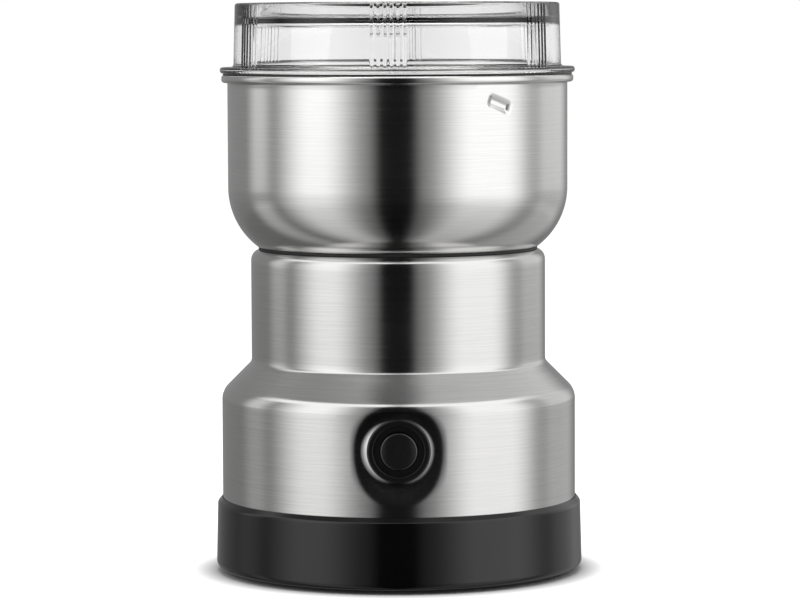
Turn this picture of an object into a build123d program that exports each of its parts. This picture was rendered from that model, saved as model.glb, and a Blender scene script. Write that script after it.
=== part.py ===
from build123d import *
from math import atan2, cos, degrees, hypot, radians, sin, sqrt, tan
import os

# Electric spice grinder. Millimetres, +Z up, origin on the table under the middle of the base.
# The button faces -Y and the cord leaves towards +Y.

os.makedirs("parts", exist_ok=True)

# Clearances
SLIDE_GAP = 0.15      # moulded parts that slide or turn against each other
FIT_GAP = 0.05        # a screw, ring or plug in its hole
RUN_GAP = 0.05        # a turning shaft in its bearing
PRESS_GAP = 0.02      # a piece pressed onto the shaft

# Sheet steel body
STEEL = 0.6
DRUM_RADIUS = 50.2
DRUM_HEIGHT = 30.2    # base lip to the sharp corner of drum and cone
DRUM_ROUND = 5.0
CONE_ANGLE = 45.0
NECK_RADIUS = 41.75
NECK_HEIGHT = 31.81   # sharp corner of cone and neck to the neck's crest
NECK_ROUND = 3.0
NECK_FOOT_ROUND = 2.0
LIP_REACH = 0.55      # the rolled lip stops this far outside the crest

# Base moulding
FOOT_PROUD = 1.2
BASE_HEIGHT = 19.8
BASE_DRAFT = 0.45
BASE_ROUND = 1.7
BASE_FLOOR = 2.6
LIP_WALL = 1.3        # base wall outside the steel, at the lip
LIP_LAND = 0.15
LIP_CHAMFER = 1.4
LIP_ROUND = 1.1
SEAT_DEPTH = 5.4      # lip down to the ledge that the steel stands on
RIB_WALL = 1.0
RIB_HEIGHT = 3.0
RIB_GAP = 0.2         # rib to the inside of the steel

# Feet, screws and the legs that they pull on
FOOT_RADIUS = 5.0
FOOT_SUNK = 1.2
LEG_RADIUS = 4.0
LEG_GAP = 0.65
LEG_COUNT = 4
LEG_START = 45.0
TOWER_RADIUS = 4.5
TOWER_HEIGHT = 10.2
SCREW_RADIUS = 1.5
SCREW_LENGTH = 18.8
SCREW_HEAD_RADIUS = 3.0
SCREW_HEAD = 2.2
SCREW_HEAD_COVER = 0.6    # head to the foot that hides it
HEAD_GAP = 0.3

# Vents in the floor of the base
VENT_COUNT = 12
VENT_LENGTH = 13.0
VENT_WIDTH = 2.4
VENT_RING_RADIUS = 25.5

# Cord gland
GLAND_HEIGHT = 8.4        # above the underside of the base
GLAND_BORE = 3.4
GLAND_BARREL = 5.0
GLAND_FLANGE = 6.4
GLAND_FLANGE_SUNK = 0.75  # flange seat below the outside of the base
GLAND_FLANGE_T = 1.1
GLAND_LENGTH = 7.0
GLAND_SNAP = 0.7
GLAND_SNAP_T = 1.3

# Bowl
BOWL_CORNER = 21.0
BOWL_HEIGHT = 50.6        # underside to the rolled rim
RIM_HEIGHT = 2.3
RIM_OVERHANG = 1.7
RIM_INSET = 0.4           # rim inside the line of the drum
RIM_ROUND = 0.9
LIP_TO_BOWL = 0.46        # slit over the neck's lip, filled by the gasket
GASKET_REACH = 0.25
GASKET_WEB = 1.35
GASKET_DEPTH = 1.6

# Locking dents in the bowl
DENT_ANGLE = -54.5
DENT_COUNT = 2
DENT_DROP = 5.6           # rim down to the middle of a dent
DENT_LENGTH = 8.9
DENT_WIDTH = 5.5
DENT_DEPTH = 1.6
DENT_FLOOR_LENGTH = 6.2
DENT_FLOOR_WIDTH = 2.4
DENT_TILT = -19.6

# Lid
SEAL_T = 0.4
SEAL_WIDTH = 1.9
LID_OVERHANG = 0.4        # flange beyond the bowl's rim
LID_FLANGE = 1.7
LID_FLANGE_ROUND = 0.7
GRIP_INSET = 3.85         # grip inside the edge of the flange
GRIP_HEIGHT = 18.0
GRIP_DRAFT = 0.5
GRIP_WALL = 2.2
GRIP_ROUND = 0.7
GRIP_FOOT_ROUND = 1.0
PANEL_DEPTH = 4.5         # top of the grip down to the panel
PANEL_T = 1.4
CROWN_HEIGHT = 2.85       # raised middle of the panel
CROWN_RADIUS = 33.0
CROWN_FOOT_RADIUS = 38.0
CROWN_ROUND = 3.0
SKIRT_GAP = 0.6
SKIRT_WALL = 2.6
SKIRT_DEPTH = 14.5
TRACK_GAP = 0.4           # around a dent in its track
LOCK_TURN = 20.0
RIB_RADIUS = 0.55
RIB_SUNK = 0.2            # middle of a rib inside the face of the grip
RIB_PITCH = 2.22
RIBS_PER_GROUP = 6
RIB_GROUPS = 6
RIB_GROUP_ANGLE = -93.0

# Motor carrier
CARRIER_T = 4.0
CARRIER_BOSS = 5.0
CARRIER_BOSS_DROP = 4.2

# Bush that clamps the bowl to the carrier
BUSH_FLANGE_RADIUS = 11.0
BUSH_FLANGE = 2.0
BUSH_RADIUS = 7.0
BUSH_TOP = 3.2
BUSH_STEM = 7.2
BUSH_GAP = 0.35
LOCKNUT_T = 3.0
LOCKNUT_FLATS = 17.0
SEAL_RADIUS = 5.15
SHAFT_SEAL_T = 2.2

# Motor
SHAFT_RADIUS = 3.0
SHAFT_TAIL = 0.6
BLADE_SPIGOT = 2.5
CORE_X = 46.0
CORE_Y = 40.0
CORE_ROUND = 7.0
YOKE_X = 4.0
YOKE_Y = 5.0
POLE_WIDTH = 12.0
POLE_SHOE = 2.6
POLE_GAP_WIDTH = 15.0
AIR_GAP = 0.6
ARMATURE_RADIUS = 12.0
ARMATURE_SLOTS = 12
SLOT_WIDTH = 2.4
SLOT_ROOT = 6.5
WINDING_RADIUS = 11.0
WINDING_BORE = 4.5
WINDING_OVERHANG = 5.5
WINDING_GAP = 0.2
COIL_GAP = 0.2
COIL_WIDTH = 5.3
COIL_OVERHANG = 7.0
BRACKET_BAR = 4.0
BRACKET_WIDTH = 18.0
UPPER_LEG = 9.0
LOWER_LEG = 17.0
BEARING_RADIUS = 6.5
BEARING_DEPTH = 6.0
BEARING_WALL = 2.5
BEARING_LIP = 1.5
BEARING_HOUSING = 8.0
LOWER_HOUSING = 8.5
MOTOR_SCREW_RADIUS = 1.9
MOTOR_SCREW_HEAD_RADIUS = 3.5
MOTOR_SCREW_HEAD = 2.8
MOTOR_SCREW_BITE = 5.0
MOTOR_SCREW_CLEAR = 0.2
MOUNT_T = 2.0
MOUNT_RADIUS = 4.5

# Commutator, brushes and fan
COMMUTATOR_RADIUS = 8.5
COMMUTATOR_LENGTH = 9.0
COMMUTATOR_CLEAR = 1.0
COMMUTATOR_GROOVE = 0.5
BRUSH_SIDE = 5.0
BRUSH_LENGTH = 6.8
BRUSH_GAP = 0.08
BRUSH_HOLDER_WALL = 1.4
BRUSH_HOLDER_START = 9.6
BRUSH_HOLDER_LENGTH = 12.4
BRUSH_CAP_T = 2.0
BRUSH_ARM = 10.0
BRUSH_STAND = 1.5
BRUSH_SPRING_RADIUS = 1.7
BRUSH_WIRE = 0.25
BRUSH_SPRING_TURNS = 5
FAN_RADIUS = 24.0
FAN_LENGTH = 7.0
FAN_DISC = 1.2
FAN_HUB_RADIUS = 6.0
FAN_BLADES = 9
FAN_CLEAR = 1.5
FAN_FLOOR_CLEAR = 6.2      # fan above the floor of the base

# Blades
SPACER_T = 1.5
SPACER_RADIUS = 6.0
SPACER_CLEAR = 1.0
BLADE_T = 1.2
BLADE_REACH = 31.0
BLADE_BEND = 18.0
BLADE_WIDTH = 10.0
BLADE_TURN = 25.0         # lower blade, from +X
BLADE_CROSSING = 90.0
LOWER_TIP_DROP = 4.0
UPPER_TIP_RISE = 7.0
BLADE_NUT_RADIUS = 4.6
BLADE_NUT_T = 4.5

# Push switch in the front of the drum
SWITCH_HEIGHT = 18.2      # above the base lip
DISH_DEPTH = 1.6
DISH_FLOOR_RADIUS = 9.7
DISH_RADIUS = 12.0
BEZEL_RADIUS = 8.75
BEZEL_STEP_RADIUS = 7.0
BEZEL_STEP = 0.6
BEZEL_FLANGE = 2.3
BEZEL_CHAMFER = 0.4
BARREL_RADIUS = 6.4
BARREL_LENGTH = 10.6
BARREL_FRONT = 3.9        # length of the narrow front bore
CAP_RADIUS = 5.1
CAP_PROUD = 0.7
CAP_ROUND = 0.5
CAP_COLLAR = 1.2
CAP_COLLAR_REACH = 0.45
PRESS_TRAVEL = 2.5
STEM_RADIUS = 1.8
SWITCH_NUT_T = 2.5
SWITCH_NUT_FLATS = 15.0
SWITCH_CASE_RADIUS = 7.8
SWITCH_CASE_WALL = 1.6
SWITCH_CAVITY = 6.4
SWITCH_COLLAR = 3.5
BRIDGE_T = 0.8
BRIDGE_LENGTH = 10.0
BRIDGE_WIDTH = 3.6
BRIDGE_GAP = 0.8
TERMINAL_SPREAD = 3.5
TERMINAL_WIDTH = 2.8
TERMINAL_T = 0.8
TERMINAL_CLEAR = 3.0      # ends of the terminals to the motor
SWITCH_SPRING_RADIUS = 4.4
SWITCH_WIRE = 0.35
SWITCH_SPRING_TURNS = 4

# Heights and radii of the base and the steel body
z_base = FOOT_PROUD
z_floor = z_base + BASE_FLOOR
z_lip = z_base + BASE_HEIGHT
z_seat = z_lip - SEAT_DEPTH
lip_inner = DRUM_RADIUS + SLIDE_GAP
base_top_radius = lip_inner + LIP_WALL
base_radius = base_top_radius + BASE_DRAFT
drum_inner = DRUM_RADIUS - STEEL
rib_outer = drum_inner - RIB_GAP
cavity_radius = rib_outer - RIB_WALL

z_drum = z_lip + DRUM_HEIGHT
z_neck = z_drum + (DRUM_RADIUS - NECK_RADIUS) * tan(radians(CONE_ANGLE))
z_crest = z_neck + NECK_HEIGHT
neck_inner = NECK_RADIUS - STEEL
lip_centre = NECK_RADIUS - NECK_ROUND
mouth_radius = lip_centre + LIP_REACH

leg_ring = neck_inner - LEG_RADIUS - LEG_GAP
z_tower = z_floor + TOWER_HEIGHT
z_foot_top = z_base + FOOT_SUNK
z_screw_seat = z_foot_top + SCREW_HEAD_COVER + SCREW_HEAD

# Bowl: its rounded underside rests on the gasket in the neck's lip
rim_radius = DRUM_RADIUS - RIM_INSET
bowl_radius = rim_radius - RIM_OVERHANG
bowl_flat = bowl_radius - BOWL_CORNER
bowl_inner = bowl_radius - STEEL
z_mouth = z_crest - NECK_ROUND + sqrt(NECK_ROUND**2 - LIP_REACH**2)
z_corner = z_mouth + LIP_TO_BOWL + sqrt(BOWL_CORNER**2 - (mouth_radius - bowl_flat) ** 2)
z_bowl = z_corner - BOWL_CORNER
z_bowl_floor = z_bowl + STEEL
z_rim = z_bowl + BOWL_HEIGHT
z_rim_top = z_rim + RIM_HEIGHT
z_dent = z_rim - DENT_DROP

# Lid
z_flange = z_rim_top + SEAL_T
z_grip = z_flange + LID_FLANGE
z_lid_top = z_grip + GRIP_HEIGHT
flange_radius = rim_radius + LID_OVERHANG
grip_radius = flange_radius - GRIP_INSET
skirt_outer = bowl_inner - SKIRT_GAP
skirt_inner = skirt_outer - SKIRT_WALL
z_skirt = z_flange - SKIRT_DEPTH
z_panel = z_lid_top - PANEL_DEPTH
z_crown = z_panel + CROWN_HEIGHT
panel_radius = grip_radius - GRIP_WALL - GRIP_DRAFT

# Motor: the upper end hangs below the carrier and the lower end ends above the base's floor,
# so the core takes the length that is left
z_carrier = z_bowl - CARRIER_T
z_boss = z_carrier - CARRIER_BOSS_DROP
z_upper_bar = z_boss - MOUNT_T
z_upper_leg = z_upper_bar - BRACKET_BAR
z_core_top = z_upper_leg - UPPER_LEG
z_upper_case = z_upper_leg - BEARING_LIP
z_upper_bearing = z_upper_case + BEARING_LIP
z_fan = z_floor + FAN_FLOOR_CLEAR
z_fan_top = z_fan + FAN_LENGTH
z_lower_case = z_fan_top + FAN_CLEAR
z_lower_bearing = z_lower_case + BEARING_LIP
z_lower_leg = z_lower_case + LOWER_HOUSING
z_lower_bar = z_lower_leg - BRACKET_BAR
z_core = z_lower_leg + LOWER_LEG
core_length = z_core_top - z_core
stator_bore = ARMATURE_RADIUS + AIR_GAP
screw_line = (CORE_Y - YOKE_Y) / 2
bearing_case = BEARING_RADIUS + BEARING_WALL
z_commutator = z_lower_leg + COMMUTATOR_CLEAR
z_commutator_top = z_commutator + COMMUTATOR_LENGTH
z_brush = z_lower_leg + BRUSH_STAND + BRUSH_SIDE / 2 + BRUSH_HOLDER_WALL + FIT_GAP

# Blade stack on the shaft
z_bush_top = z_bowl_floor + BUSH_FLANGE + BUSH_TOP
z_shoulder = z_bush_top + SPACER_CLEAR
z_blades = z_shoulder + SPACER_T
z_blade_nut = z_blades + 2 * BLADE_T

# Switch, along Y at its own height
z_switch = z_lip + SWITCH_HEIGHT
y_dish = -(DRUM_RADIUS - DISH_DEPTH)
y_bezel = y_dish - BEZEL_FLANGE
y_barrel_end = y_dish + BARREL_LENGTH
y_step = y_dish + BARREL_FRONT - BEZEL_FLANGE
y_cap = y_bezel - CAP_PROUD
y_collar = y_step + FIT_GAP
y_case_back = y_barrel_end + SWITCH_CASE_WALL
y_bridge = y_case_back + BRIDGE_GAP
y_contact = y_bridge + BRIDGE_T + PRESS_TRAVEL + FIT_GAP
y_cavity_end = y_contact + TERMINAL_T + SLIDE_GAP
y_case_end = y_cavity_end + SWITCH_CASE_WALL
y_terminal_end = -CORE_Y / 2 - TERMINAL_CLEAR
switch_section = Plane.XY.offset(z_switch)
switch_axis = Axis((0, 0, z_switch), (0, 1, 0))


def finish(piece, name):
    """Label a piece and write it as its own file."""
    piece.part.label = name
    export_step(piece.part, f"parts/{name}.step")


def band(inner, outer, low, high, mode=Mode.ADD):
    """Rectangle of a turned section, between two radii and two heights."""
    with Locations(((inner + outer) / 2, (low + high) / 2)):
        Rectangle(outer - inner, high - low, mode=mode)


def cross_plane(y):
    """Plane across the switch and the gland, looking along +Y."""
    return Plane(origin=(0, y, 0), x_dir=(1, 0, 0), z_dir=(0, 1, 0))


def sleeve(name, outer, bore, low, high):
    """Plain ring about the main axis."""
    with BuildPart() as ring:
        with BuildSketch(Plane.XY.offset(low)):
            Circle(outer)
            Circle(bore, mode=Mode.SUBTRACT)
        extrude(amount=high - low)
    finish(ring, name)


def outline(points, rounds):
    """Closed line through rounded points, straight from the last to the first."""
    edge = FilletPolyline(*points, radius=rounds)
    Line(edge @ 1, edge @ 0)


# ---------------------------------------------------------------- base

with BuildPart() as base:
    with BuildSketch(Plane.XZ):
        with BuildLine():
            outline(
                [
                    (0, z_base),
                    (base_radius, z_base),
                    (base_top_radius, z_lip - LIP_CHAMFER),
                    (lip_inner + LIP_LAND, z_lip),
                    (0, z_lip),
                ],
                [BASE_ROUND, LIP_ROUND, 0],
            )
        make_face()
        with BuildLine():
            Polyline(
                (0, z_floor),
                (cavity_radius, z_floor),
                (cavity_radius, z_seat + RIB_HEIGHT),
                (rib_outer, z_seat + RIB_HEIGHT),
                (rib_outer, z_seat),
                (lip_inner, z_seat),
                (lip_inner, z_lip + 1),
                (0, z_lip + 1),
                close=True,
            )
        make_face(mode=Mode.SUBTRACT)
    revolve()
    with BuildSketch(Plane.XY.offset(z_floor)):
        with PolarLocations(leg_ring, LEG_COUNT, start_angle=LEG_START):
            Circle(TOWER_RADIUS)
    extrude(amount=TOWER_HEIGHT)
    with BuildSketch(Plane.XY.offset(z_base)):
        with PolarLocations(leg_ring, LEG_COUNT, start_angle=LEG_START):
            Circle(FOOT_RADIUS + FIT_GAP)
    extrude(amount=FOOT_SUNK, mode=Mode.SUBTRACT)
    with BuildSketch(Plane.XY.offset(z_foot_top)):
        with PolarLocations(leg_ring, LEG_COUNT, start_angle=LEG_START):
            Circle(SCREW_HEAD_RADIUS + HEAD_GAP)
    extrude(amount=SCREW_HEAD_COVER + SCREW_HEAD, mode=Mode.SUBTRACT)
    with BuildSketch(Plane.XY.offset(z_screw_seat)):
        with PolarLocations(leg_ring, LEG_COUNT, start_angle=LEG_START):
            Circle(SCREW_RADIUS + MOTOR_SCREW_CLEAR)
    extrude(amount=z_tower - z_screw_seat, mode=Mode.SUBTRACT)
    with BuildSketch(Plane.XY.offset(z_base)):
        with PolarLocations(VENT_RING_RADIUS, VENT_COUNT):
            SlotOverall(VENT_LENGTH, VENT_WIDTH)
    extrude(amount=BASE_FLOOR, mode=Mode.SUBTRACT)
    y_gland_seat = base_top_radius - GLAND_FLANGE_SUNK
    z_gland = z_base + GLAND_HEIGHT
    with BuildSketch(cross_plane(y_gland_seat)):
        with Locations((0, -z_gland)):
            Circle(GLAND_FLANGE + SLIDE_GAP)
    extrude(amount=base_radius, mode=Mode.SUBTRACT)
    with BuildSketch(cross_plane(y_gland_seat)):
        with Locations((0, -z_gland)):
            Circle(GLAND_BARREL + FIT_GAP)
    extrude(amount=-GLAND_LENGTH, mode=Mode.SUBTRACT)
finish(base, "base")

foot_places = PolarLocations(leg_ring, LEG_COUNT, start_angle=LEG_START).locations
for number, place in enumerate(foot_places, 1):
    with BuildPart() as foot:
        with Locations(place):
            Cylinder(
                FOOT_RADIUS,
                FOOT_PROUD + FOOT_SUNK,
                align=(Align.CENTER, Align.CENTER, Align.MIN),
            )
        fillet(foot.edges().sort_by(Axis.Z)[0], FOOT_PROUD / 3)
    finish(foot, f"foot_{number}")

with BuildPart() as base_screws:
    with BuildSketch(Plane.XY.offset(z_screw_seat - SCREW_HEAD)):
        with PolarLocations(leg_ring, LEG_COUNT, start_angle=LEG_START):
            Circle(SCREW_HEAD_RADIUS)
    extrude(amount=SCREW_HEAD)
    with BuildSketch(Plane.XY.offset(z_screw_seat)):
        with PolarLocations(leg_ring, LEG_COUNT, start_angle=LEG_START):
            Circle(SCREW_RADIUS)
    extrude(amount=SCREW_LENGTH)
    with BuildSketch(Plane.XY.offset(z_screw_seat - SCREW_HEAD)):
        with PolarLocations(leg_ring, LEG_COUNT, start_angle=LEG_START):
            Rectangle(SCREW_HEAD_RADIUS * 1.2, SCREW_HEAD_RADIUS / 4)
            Rectangle(SCREW_HEAD_RADIUS / 4, SCREW_HEAD_RADIUS * 1.2)
    extrude(amount=SCREW_HEAD / 2, mode=Mode.SUBTRACT)
finish(base_screws, "base_screws")

with BuildPart() as cord_gland:
    with BuildSketch(cross_plane(y_gland_seat + GLAND_FLANGE_T)):
        with Locations((0, -z_gland)):
            Circle(GLAND_FLANGE)
    extrude(amount=-GLAND_FLANGE_T)
    with BuildSketch(cross_plane(y_gland_seat)):
        with Locations((0, -z_gland)):
            Circle(GLAND_BARREL)
    extrude(amount=GLAND_FLANGE_T - GLAND_LENGTH)
    snap_reach = hypot(GLAND_BARREL + GLAND_SNAP, 0)
    y_snap = sqrt(cavity_radius**2 - snap_reach**2) - FIT_GAP
    with BuildSketch(cross_plane(y_snap)):
        with Locations((0, -z_gland)):
            Circle(GLAND_BARREL + GLAND_SNAP)
    extrude(amount=-GLAND_SNAP_T)
    fillet(cord_gland.edges().group_by(Axis.Y)[-1], GLAND_FLANGE_T / 3)
    with BuildSketch(cross_plane(y_gland_seat + GLAND_FLANGE_T)):
        with Locations((0, -z_gland)):
            Circle(GLAND_BORE)
    extrude(amount=-GLAND_LENGTH, mode=Mode.SUBTRACT)
finish(cord_gland, "cord_gland")

# ---------------------------------------------------------------- steel body


def body_solid(inset, bottom):
    """Solid of the drum, cone and neck, drawn in by a wall on every side."""
    corner_shift = inset * tan(radians(CONE_ANGLE / 2))
    with BuildPart() as solid:
        with BuildSketch(Plane.XZ):
            with BuildLine():
                outline(
                    [
                        (0, bottom),
                        (DRUM_RADIUS - inset, bottom),
                        (DRUM_RADIUS - inset, z_drum - corner_shift),
                        (NECK_RADIUS - inset, z_neck - corner_shift),
                        (NECK_RADIUS - inset, z_crest - inset),
                        (0, z_crest - inset),
                    ],
                    [0, DRUM_ROUND - inset, NECK_FOOT_ROUND + inset, NECK_ROUND - inset],
                )
            make_face()
        revolve()
    return solid.part


def dish_solid(wall):
    """Cone pressed into the drum around the switch, or the steel behind it."""
    slope = (DISH_RADIUS - DISH_FLOOR_RADIUS) / DISH_DEPTH
    flare = wall * (hypot(1, slope) - slope)
    top = DISH_DEPTH * 2
    with BuildPart() as dish:
        with BuildSketch(switch_section):
            Polygon(
                (0, y_dish + wall),
                (DISH_FLOOR_RADIUS + flare, y_dish + wall),
                (DISH_FLOOR_RADIUS + flare + slope * (top + wall), y_dish - top),
                (0, y_dish - top),
                align=None,
            )
        revolve(axis=switch_axis)
    return dish.part


with BuildPart() as body_cavity:
    add(body_solid(STEEL, z_seat - 1))
    add(dish_solid(STEEL), mode=Mode.SUBTRACT)

with BuildPart() as body_shell:
    add(body_solid(0, z_seat))
    add(dish_solid(0), mode=Mode.SUBTRACT)
    add(body_cavity.part, mode=Mode.SUBTRACT)
    with BuildSketch(Plane.XY.offset(z_neck)):
        Circle(mouth_radius)
    extrude(amount=NECK_HEIGHT * 2, mode=Mode.SUBTRACT)
    with BuildSketch(cross_plane(y_dish - DISH_DEPTH)):
        with Locations((0, -z_switch)):
            Circle(BARREL_RADIUS + FIT_GAP)
    extrude(amount=DISH_DEPTH * 3, mode=Mode.SUBTRACT)
finish(body_shell, "body_shell")

# ---------------------------------------------------------------- bowl and its seat

with BuildPart() as bowl:
    with BuildSketch(Plane.XZ):
        with BuildLine():
            outline(
                [
                    (0, z_bowl),
                    (bowl_radius, z_bowl),
                    (bowl_radius, z_rim),
                    (rim_radius, z_rim),
                    (rim_radius, z_rim_top),
                    (0, z_rim_top),
                ],
                [BOWL_CORNER, 0, RIM_ROUND, RIM_ROUND],
            )
        make_face()
        with BuildLine():
            outline(
                [
                    (0, z_bowl_floor),
                    (bowl_inner, z_bowl_floor),
                    (bowl_inner, z_rim_top + 1),
                    (0, z_rim_top + 1),
                ],
                [BOWL_CORNER - STEEL, 0],
            )
        make_face(mode=Mode.SUBTRACT)
    revolve()
    fillet(bowl.edges().group_by(Axis.Z)[-1].sort_by(SortBy.RADIUS)[0], STEEL)
    slope = (DENT_WIDTH - DENT_FLOOR_WIDTH) / 2 / DENT_DEPTH
    flare = STEEL * (hypot(1, slope) - slope) * 2
    for turn in range(DENT_COUNT):
        angle = radians(DENT_ANGLE + turn * 360 / DENT_COUNT)
        outward = Vector(cos(angle), sin(angle), 0)
        along = Vector(-sin(angle), cos(angle), 0)
        root = Plane(
            origin=outward * (bowl_radius - STEEL * 0.6) + Vector(0, 0, z_dent),
            x_dir=along,
            z_dir=outward,
        )
        grow = flare + slope * STEEL * 0.8
        with BuildSketch(root):
            SlotOverall(DENT_LENGTH + grow, DENT_WIDTH + grow, rotation=DENT_TILT)
        with BuildSketch(root.offset(-DENT_DEPTH)):
            SlotOverall(
                DENT_FLOOR_LENGTH + flare, DENT_FLOOR_WIDTH + flare, rotation=DENT_TILT
            )
        loft()
        mouth = root.offset(STEEL * 0.6)
        with BuildSketch(mouth.offset(DENT_DEPTH)):
            SlotOverall(
                DENT_LENGTH + slope * DENT_DEPTH * 2,
                DENT_WIDTH + slope * DENT_DEPTH * 2,
                rotation=DENT_TILT,
            )
        with BuildSketch(mouth.offset(-DENT_DEPTH)):
            SlotOverall(DENT_FLOOR_LENGTH, DENT_FLOOR_WIDTH, rotation=DENT_TILT)
        loft(mode=Mode.SUBTRACT)
    with BuildSketch(Plane.XY.offset(z_bowl)):
        Circle(BUSH_RADIUS + FIT_GAP)
    extrude(amount=STEEL, mode=Mode.SUBTRACT)
finish(bowl, "bowl")

# The gasket grips the neck's lip from above and below, and the bowl rests on it.
gasket_inner = mouth_radius - GASKET_WEB
gasket_outer = mouth_radius + GASKET_REACH
z_gasket = z_mouth - GASKET_DEPTH
z_lip_centre = z_crest - NECK_ROUND

with BuildSketch(Plane.XZ) as gasket_bead:
    band(gasket_inner, gasket_outer, z_gasket, z_crest + LIP_TO_BOWL * 2)
    with Locations((lip_centre, z_lip_centre)):
        Circle(NECK_ROUND + FIT_GAP, mode=Mode.SUBTRACT)
    with Locations((bowl_flat, z_corner)):
        Circle(BOWL_CORNER + FIT_GAP, mode=Mode.SUBTRACT)

with BuildSketch(Plane.XZ) as gasket_tongue:
    with Locations((lip_centre, z_lip_centre)):
        Circle(NECK_ROUND - STEEL - FIT_GAP)
    band(gasket_inner, gasket_outer, z_gasket, z_crest, mode=Mode.INTERSECT)
    with Locations((bowl_flat, z_corner)):
        Circle(BOWL_CORNER + FIT_GAP, mode=Mode.SUBTRACT)

with BuildSketch(Plane.XZ) as gasket_web:
    band(gasket_inner, mouth_radius - FIT_GAP, z_gasket, z_crest + LIP_TO_BOWL)
    with Locations((bowl_flat, z_corner)):
        Circle(BOWL_CORNER + FIT_GAP, mode=Mode.SUBTRACT)

with BuildPart() as bowl_gasket:
    with BuildSketch(Plane.XZ):
        add(gasket_bead.sketch)
        add(gasket_tongue.sketch)
        add(gasket_web.sketch)
    revolve()
finish(bowl_gasket, "bowl_gasket")

with BuildPart() as motor_carrier:
    with BuildSketch(Plane.XY.offset(z_carrier)):
        Circle(neck_inner - SLIDE_GAP)
    extrude(amount=CARRIER_T)
    with BuildSketch(Plane.XY.offset(z_tower)):
        with PolarLocations(leg_ring, LEG_COUNT, start_angle=LEG_START):
            Circle(LEG_RADIUS)
    extrude(amount=z_carrier - z_tower)
    with BuildSketch(Plane.XY.offset(z_boss)):
        with Locations((0, screw_line), (0, -screw_line)):
            Circle(CARRIER_BOSS)
    extrude(amount=CARRIER_BOSS_DROP)
    with BuildSketch(Plane.XY.offset(z_lip_centre)):
        Circle(DRUM_RADIUS)
        Circle(gasket_inner - SLIDE_GAP, mode=Mode.SUBTRACT)
    extrude(amount=BOWL_CORNER, mode=Mode.SUBTRACT)
    with BuildSketch(Plane.XY.offset(z_carrier)):
        Circle(BUSH_RADIUS + FIT_GAP)
    extrude(amount=CARRIER_T, mode=Mode.SUBTRACT)
    with BuildSketch(Plane.XY.offset(z_tower)):
        with PolarLocations(leg_ring, LEG_COUNT, start_angle=LEG_START):
            Circle(SCREW_RADIUS + FIT_GAP)
    extrude(amount=z_screw_seat + SCREW_LENGTH + 1 - z_tower, mode=Mode.SUBTRACT)
    with BuildSketch(Plane.XY.offset(z_boss)):
        with Locations((0, screw_line), (0, -screw_line)):
            Circle(MOTOR_SCREW_RADIUS + FIT_GAP)
    extrude(amount=MOTOR_SCREW_BITE + 1, mode=Mode.SUBTRACT)
finish(motor_carrier, "motor_carrier")

with BuildPart() as bowl_bush:
    with BuildSketch(Plane.XZ):
        bore = SHAFT_RADIUS + BUSH_GAP
        band(bore, BUSH_RADIUS, z_bowl_floor - BUSH_STEM - STEEL, z_bush_top)
        band(bore, BUSH_FLANGE_RADIUS, z_bowl_floor, z_bowl_floor + BUSH_FLANGE)
        band(
            bore,
            SEAL_RADIUS + FIT_GAP,
            z_bush_top - SHAFT_SEAL_T,
            z_bush_top,
            mode=Mode.SUBTRACT,
        )
    revolve()
finish(bowl_bush, "bowl_bush")

with BuildPart() as bowl_locknut:
    with BuildSketch(Plane.XY.offset(z_carrier - LOCKNUT_T)):
        RegularPolygon(LOCKNUT_FLATS / 2, 6, major_radius=False)
        Circle(BUSH_RADIUS + FIT_GAP, mode=Mode.SUBTRACT)
    extrude(amount=LOCKNUT_T)
finish(bowl_locknut, "bowl_locknut")

sleeve("shaft_seal", SEAL_RADIUS, SHAFT_RADIUS + RUN_GAP, z_bush_top - SHAFT_SEAL_T, z_bush_top)

# ---------------------------------------------------------------- lid

with BuildPart() as lid_seal:
    with BuildSketch(Plane.XY.offset(z_rim_top)):
        Circle(rim_radius - LID_OVERHANG)
        Circle(rim_radius - LID_OVERHANG - SEAL_WIDTH, mode=Mode.SUBTRACT)
    extrude(amount=SEAL_T)
finish(lid_seal, "lid_seal")

rib_lean = Vector(-GRIP_DRAFT, 0, GRIP_HEIGHT)
rib_planes = []
for group in range(RIB_GROUPS):
    for step in range(RIBS_PER_GROUP):
        angle = RIB_GROUP_ANGLE + group * 360 / RIB_GROUPS
        angle += (step - (RIBS_PER_GROUP - 1) / 2) * RIB_PITCH
        start = Vector(grip_radius - RIB_SUNK, 0, z_grip)
        rib_planes.append(
            Plane(
                origin=start.rotate(Axis.Z, angle),
                x_dir=Vector(0, 1, 0).rotate(Axis.Z, angle),
                z_dir=rib_lean.rotate(Axis.Z, angle),
            )
        )

dent_half_angle = degrees(atan2((DENT_LENGTH + 1) / 2 + TRACK_GAP, bowl_radius))
track_floor = bowl_radius - STEEL * 1.6 - DENT_DEPTH - TRACK_GAP
track_half = (DENT_WIDTH + 1) / 2 + (DENT_LENGTH - DENT_WIDTH) / 2 * sin(radians(-DENT_TILT))


with BuildPart() as track_cut:
    with BuildSketch(Plane.XZ.rotated((0, 0, DENT_ANGLE - dent_half_angle))):
        band(
            track_floor,
            skirt_outer + 1,
            z_skirt - 1,
            z_dent + track_half + TRACK_GAP,
        )
    revolve(revolution_arc=2 * dent_half_angle)
    with BuildSketch(Plane.XZ.rotated((0, 0, DENT_ANGLE - dent_half_angle))):
        band(
            track_floor,
            skirt_outer + 1,
            z_dent - track_half - TRACK_GAP,
            z_dent + track_half + TRACK_GAP,
        )
    revolve(revolution_arc=2 * dent_half_angle + LOCK_TURN)

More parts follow.
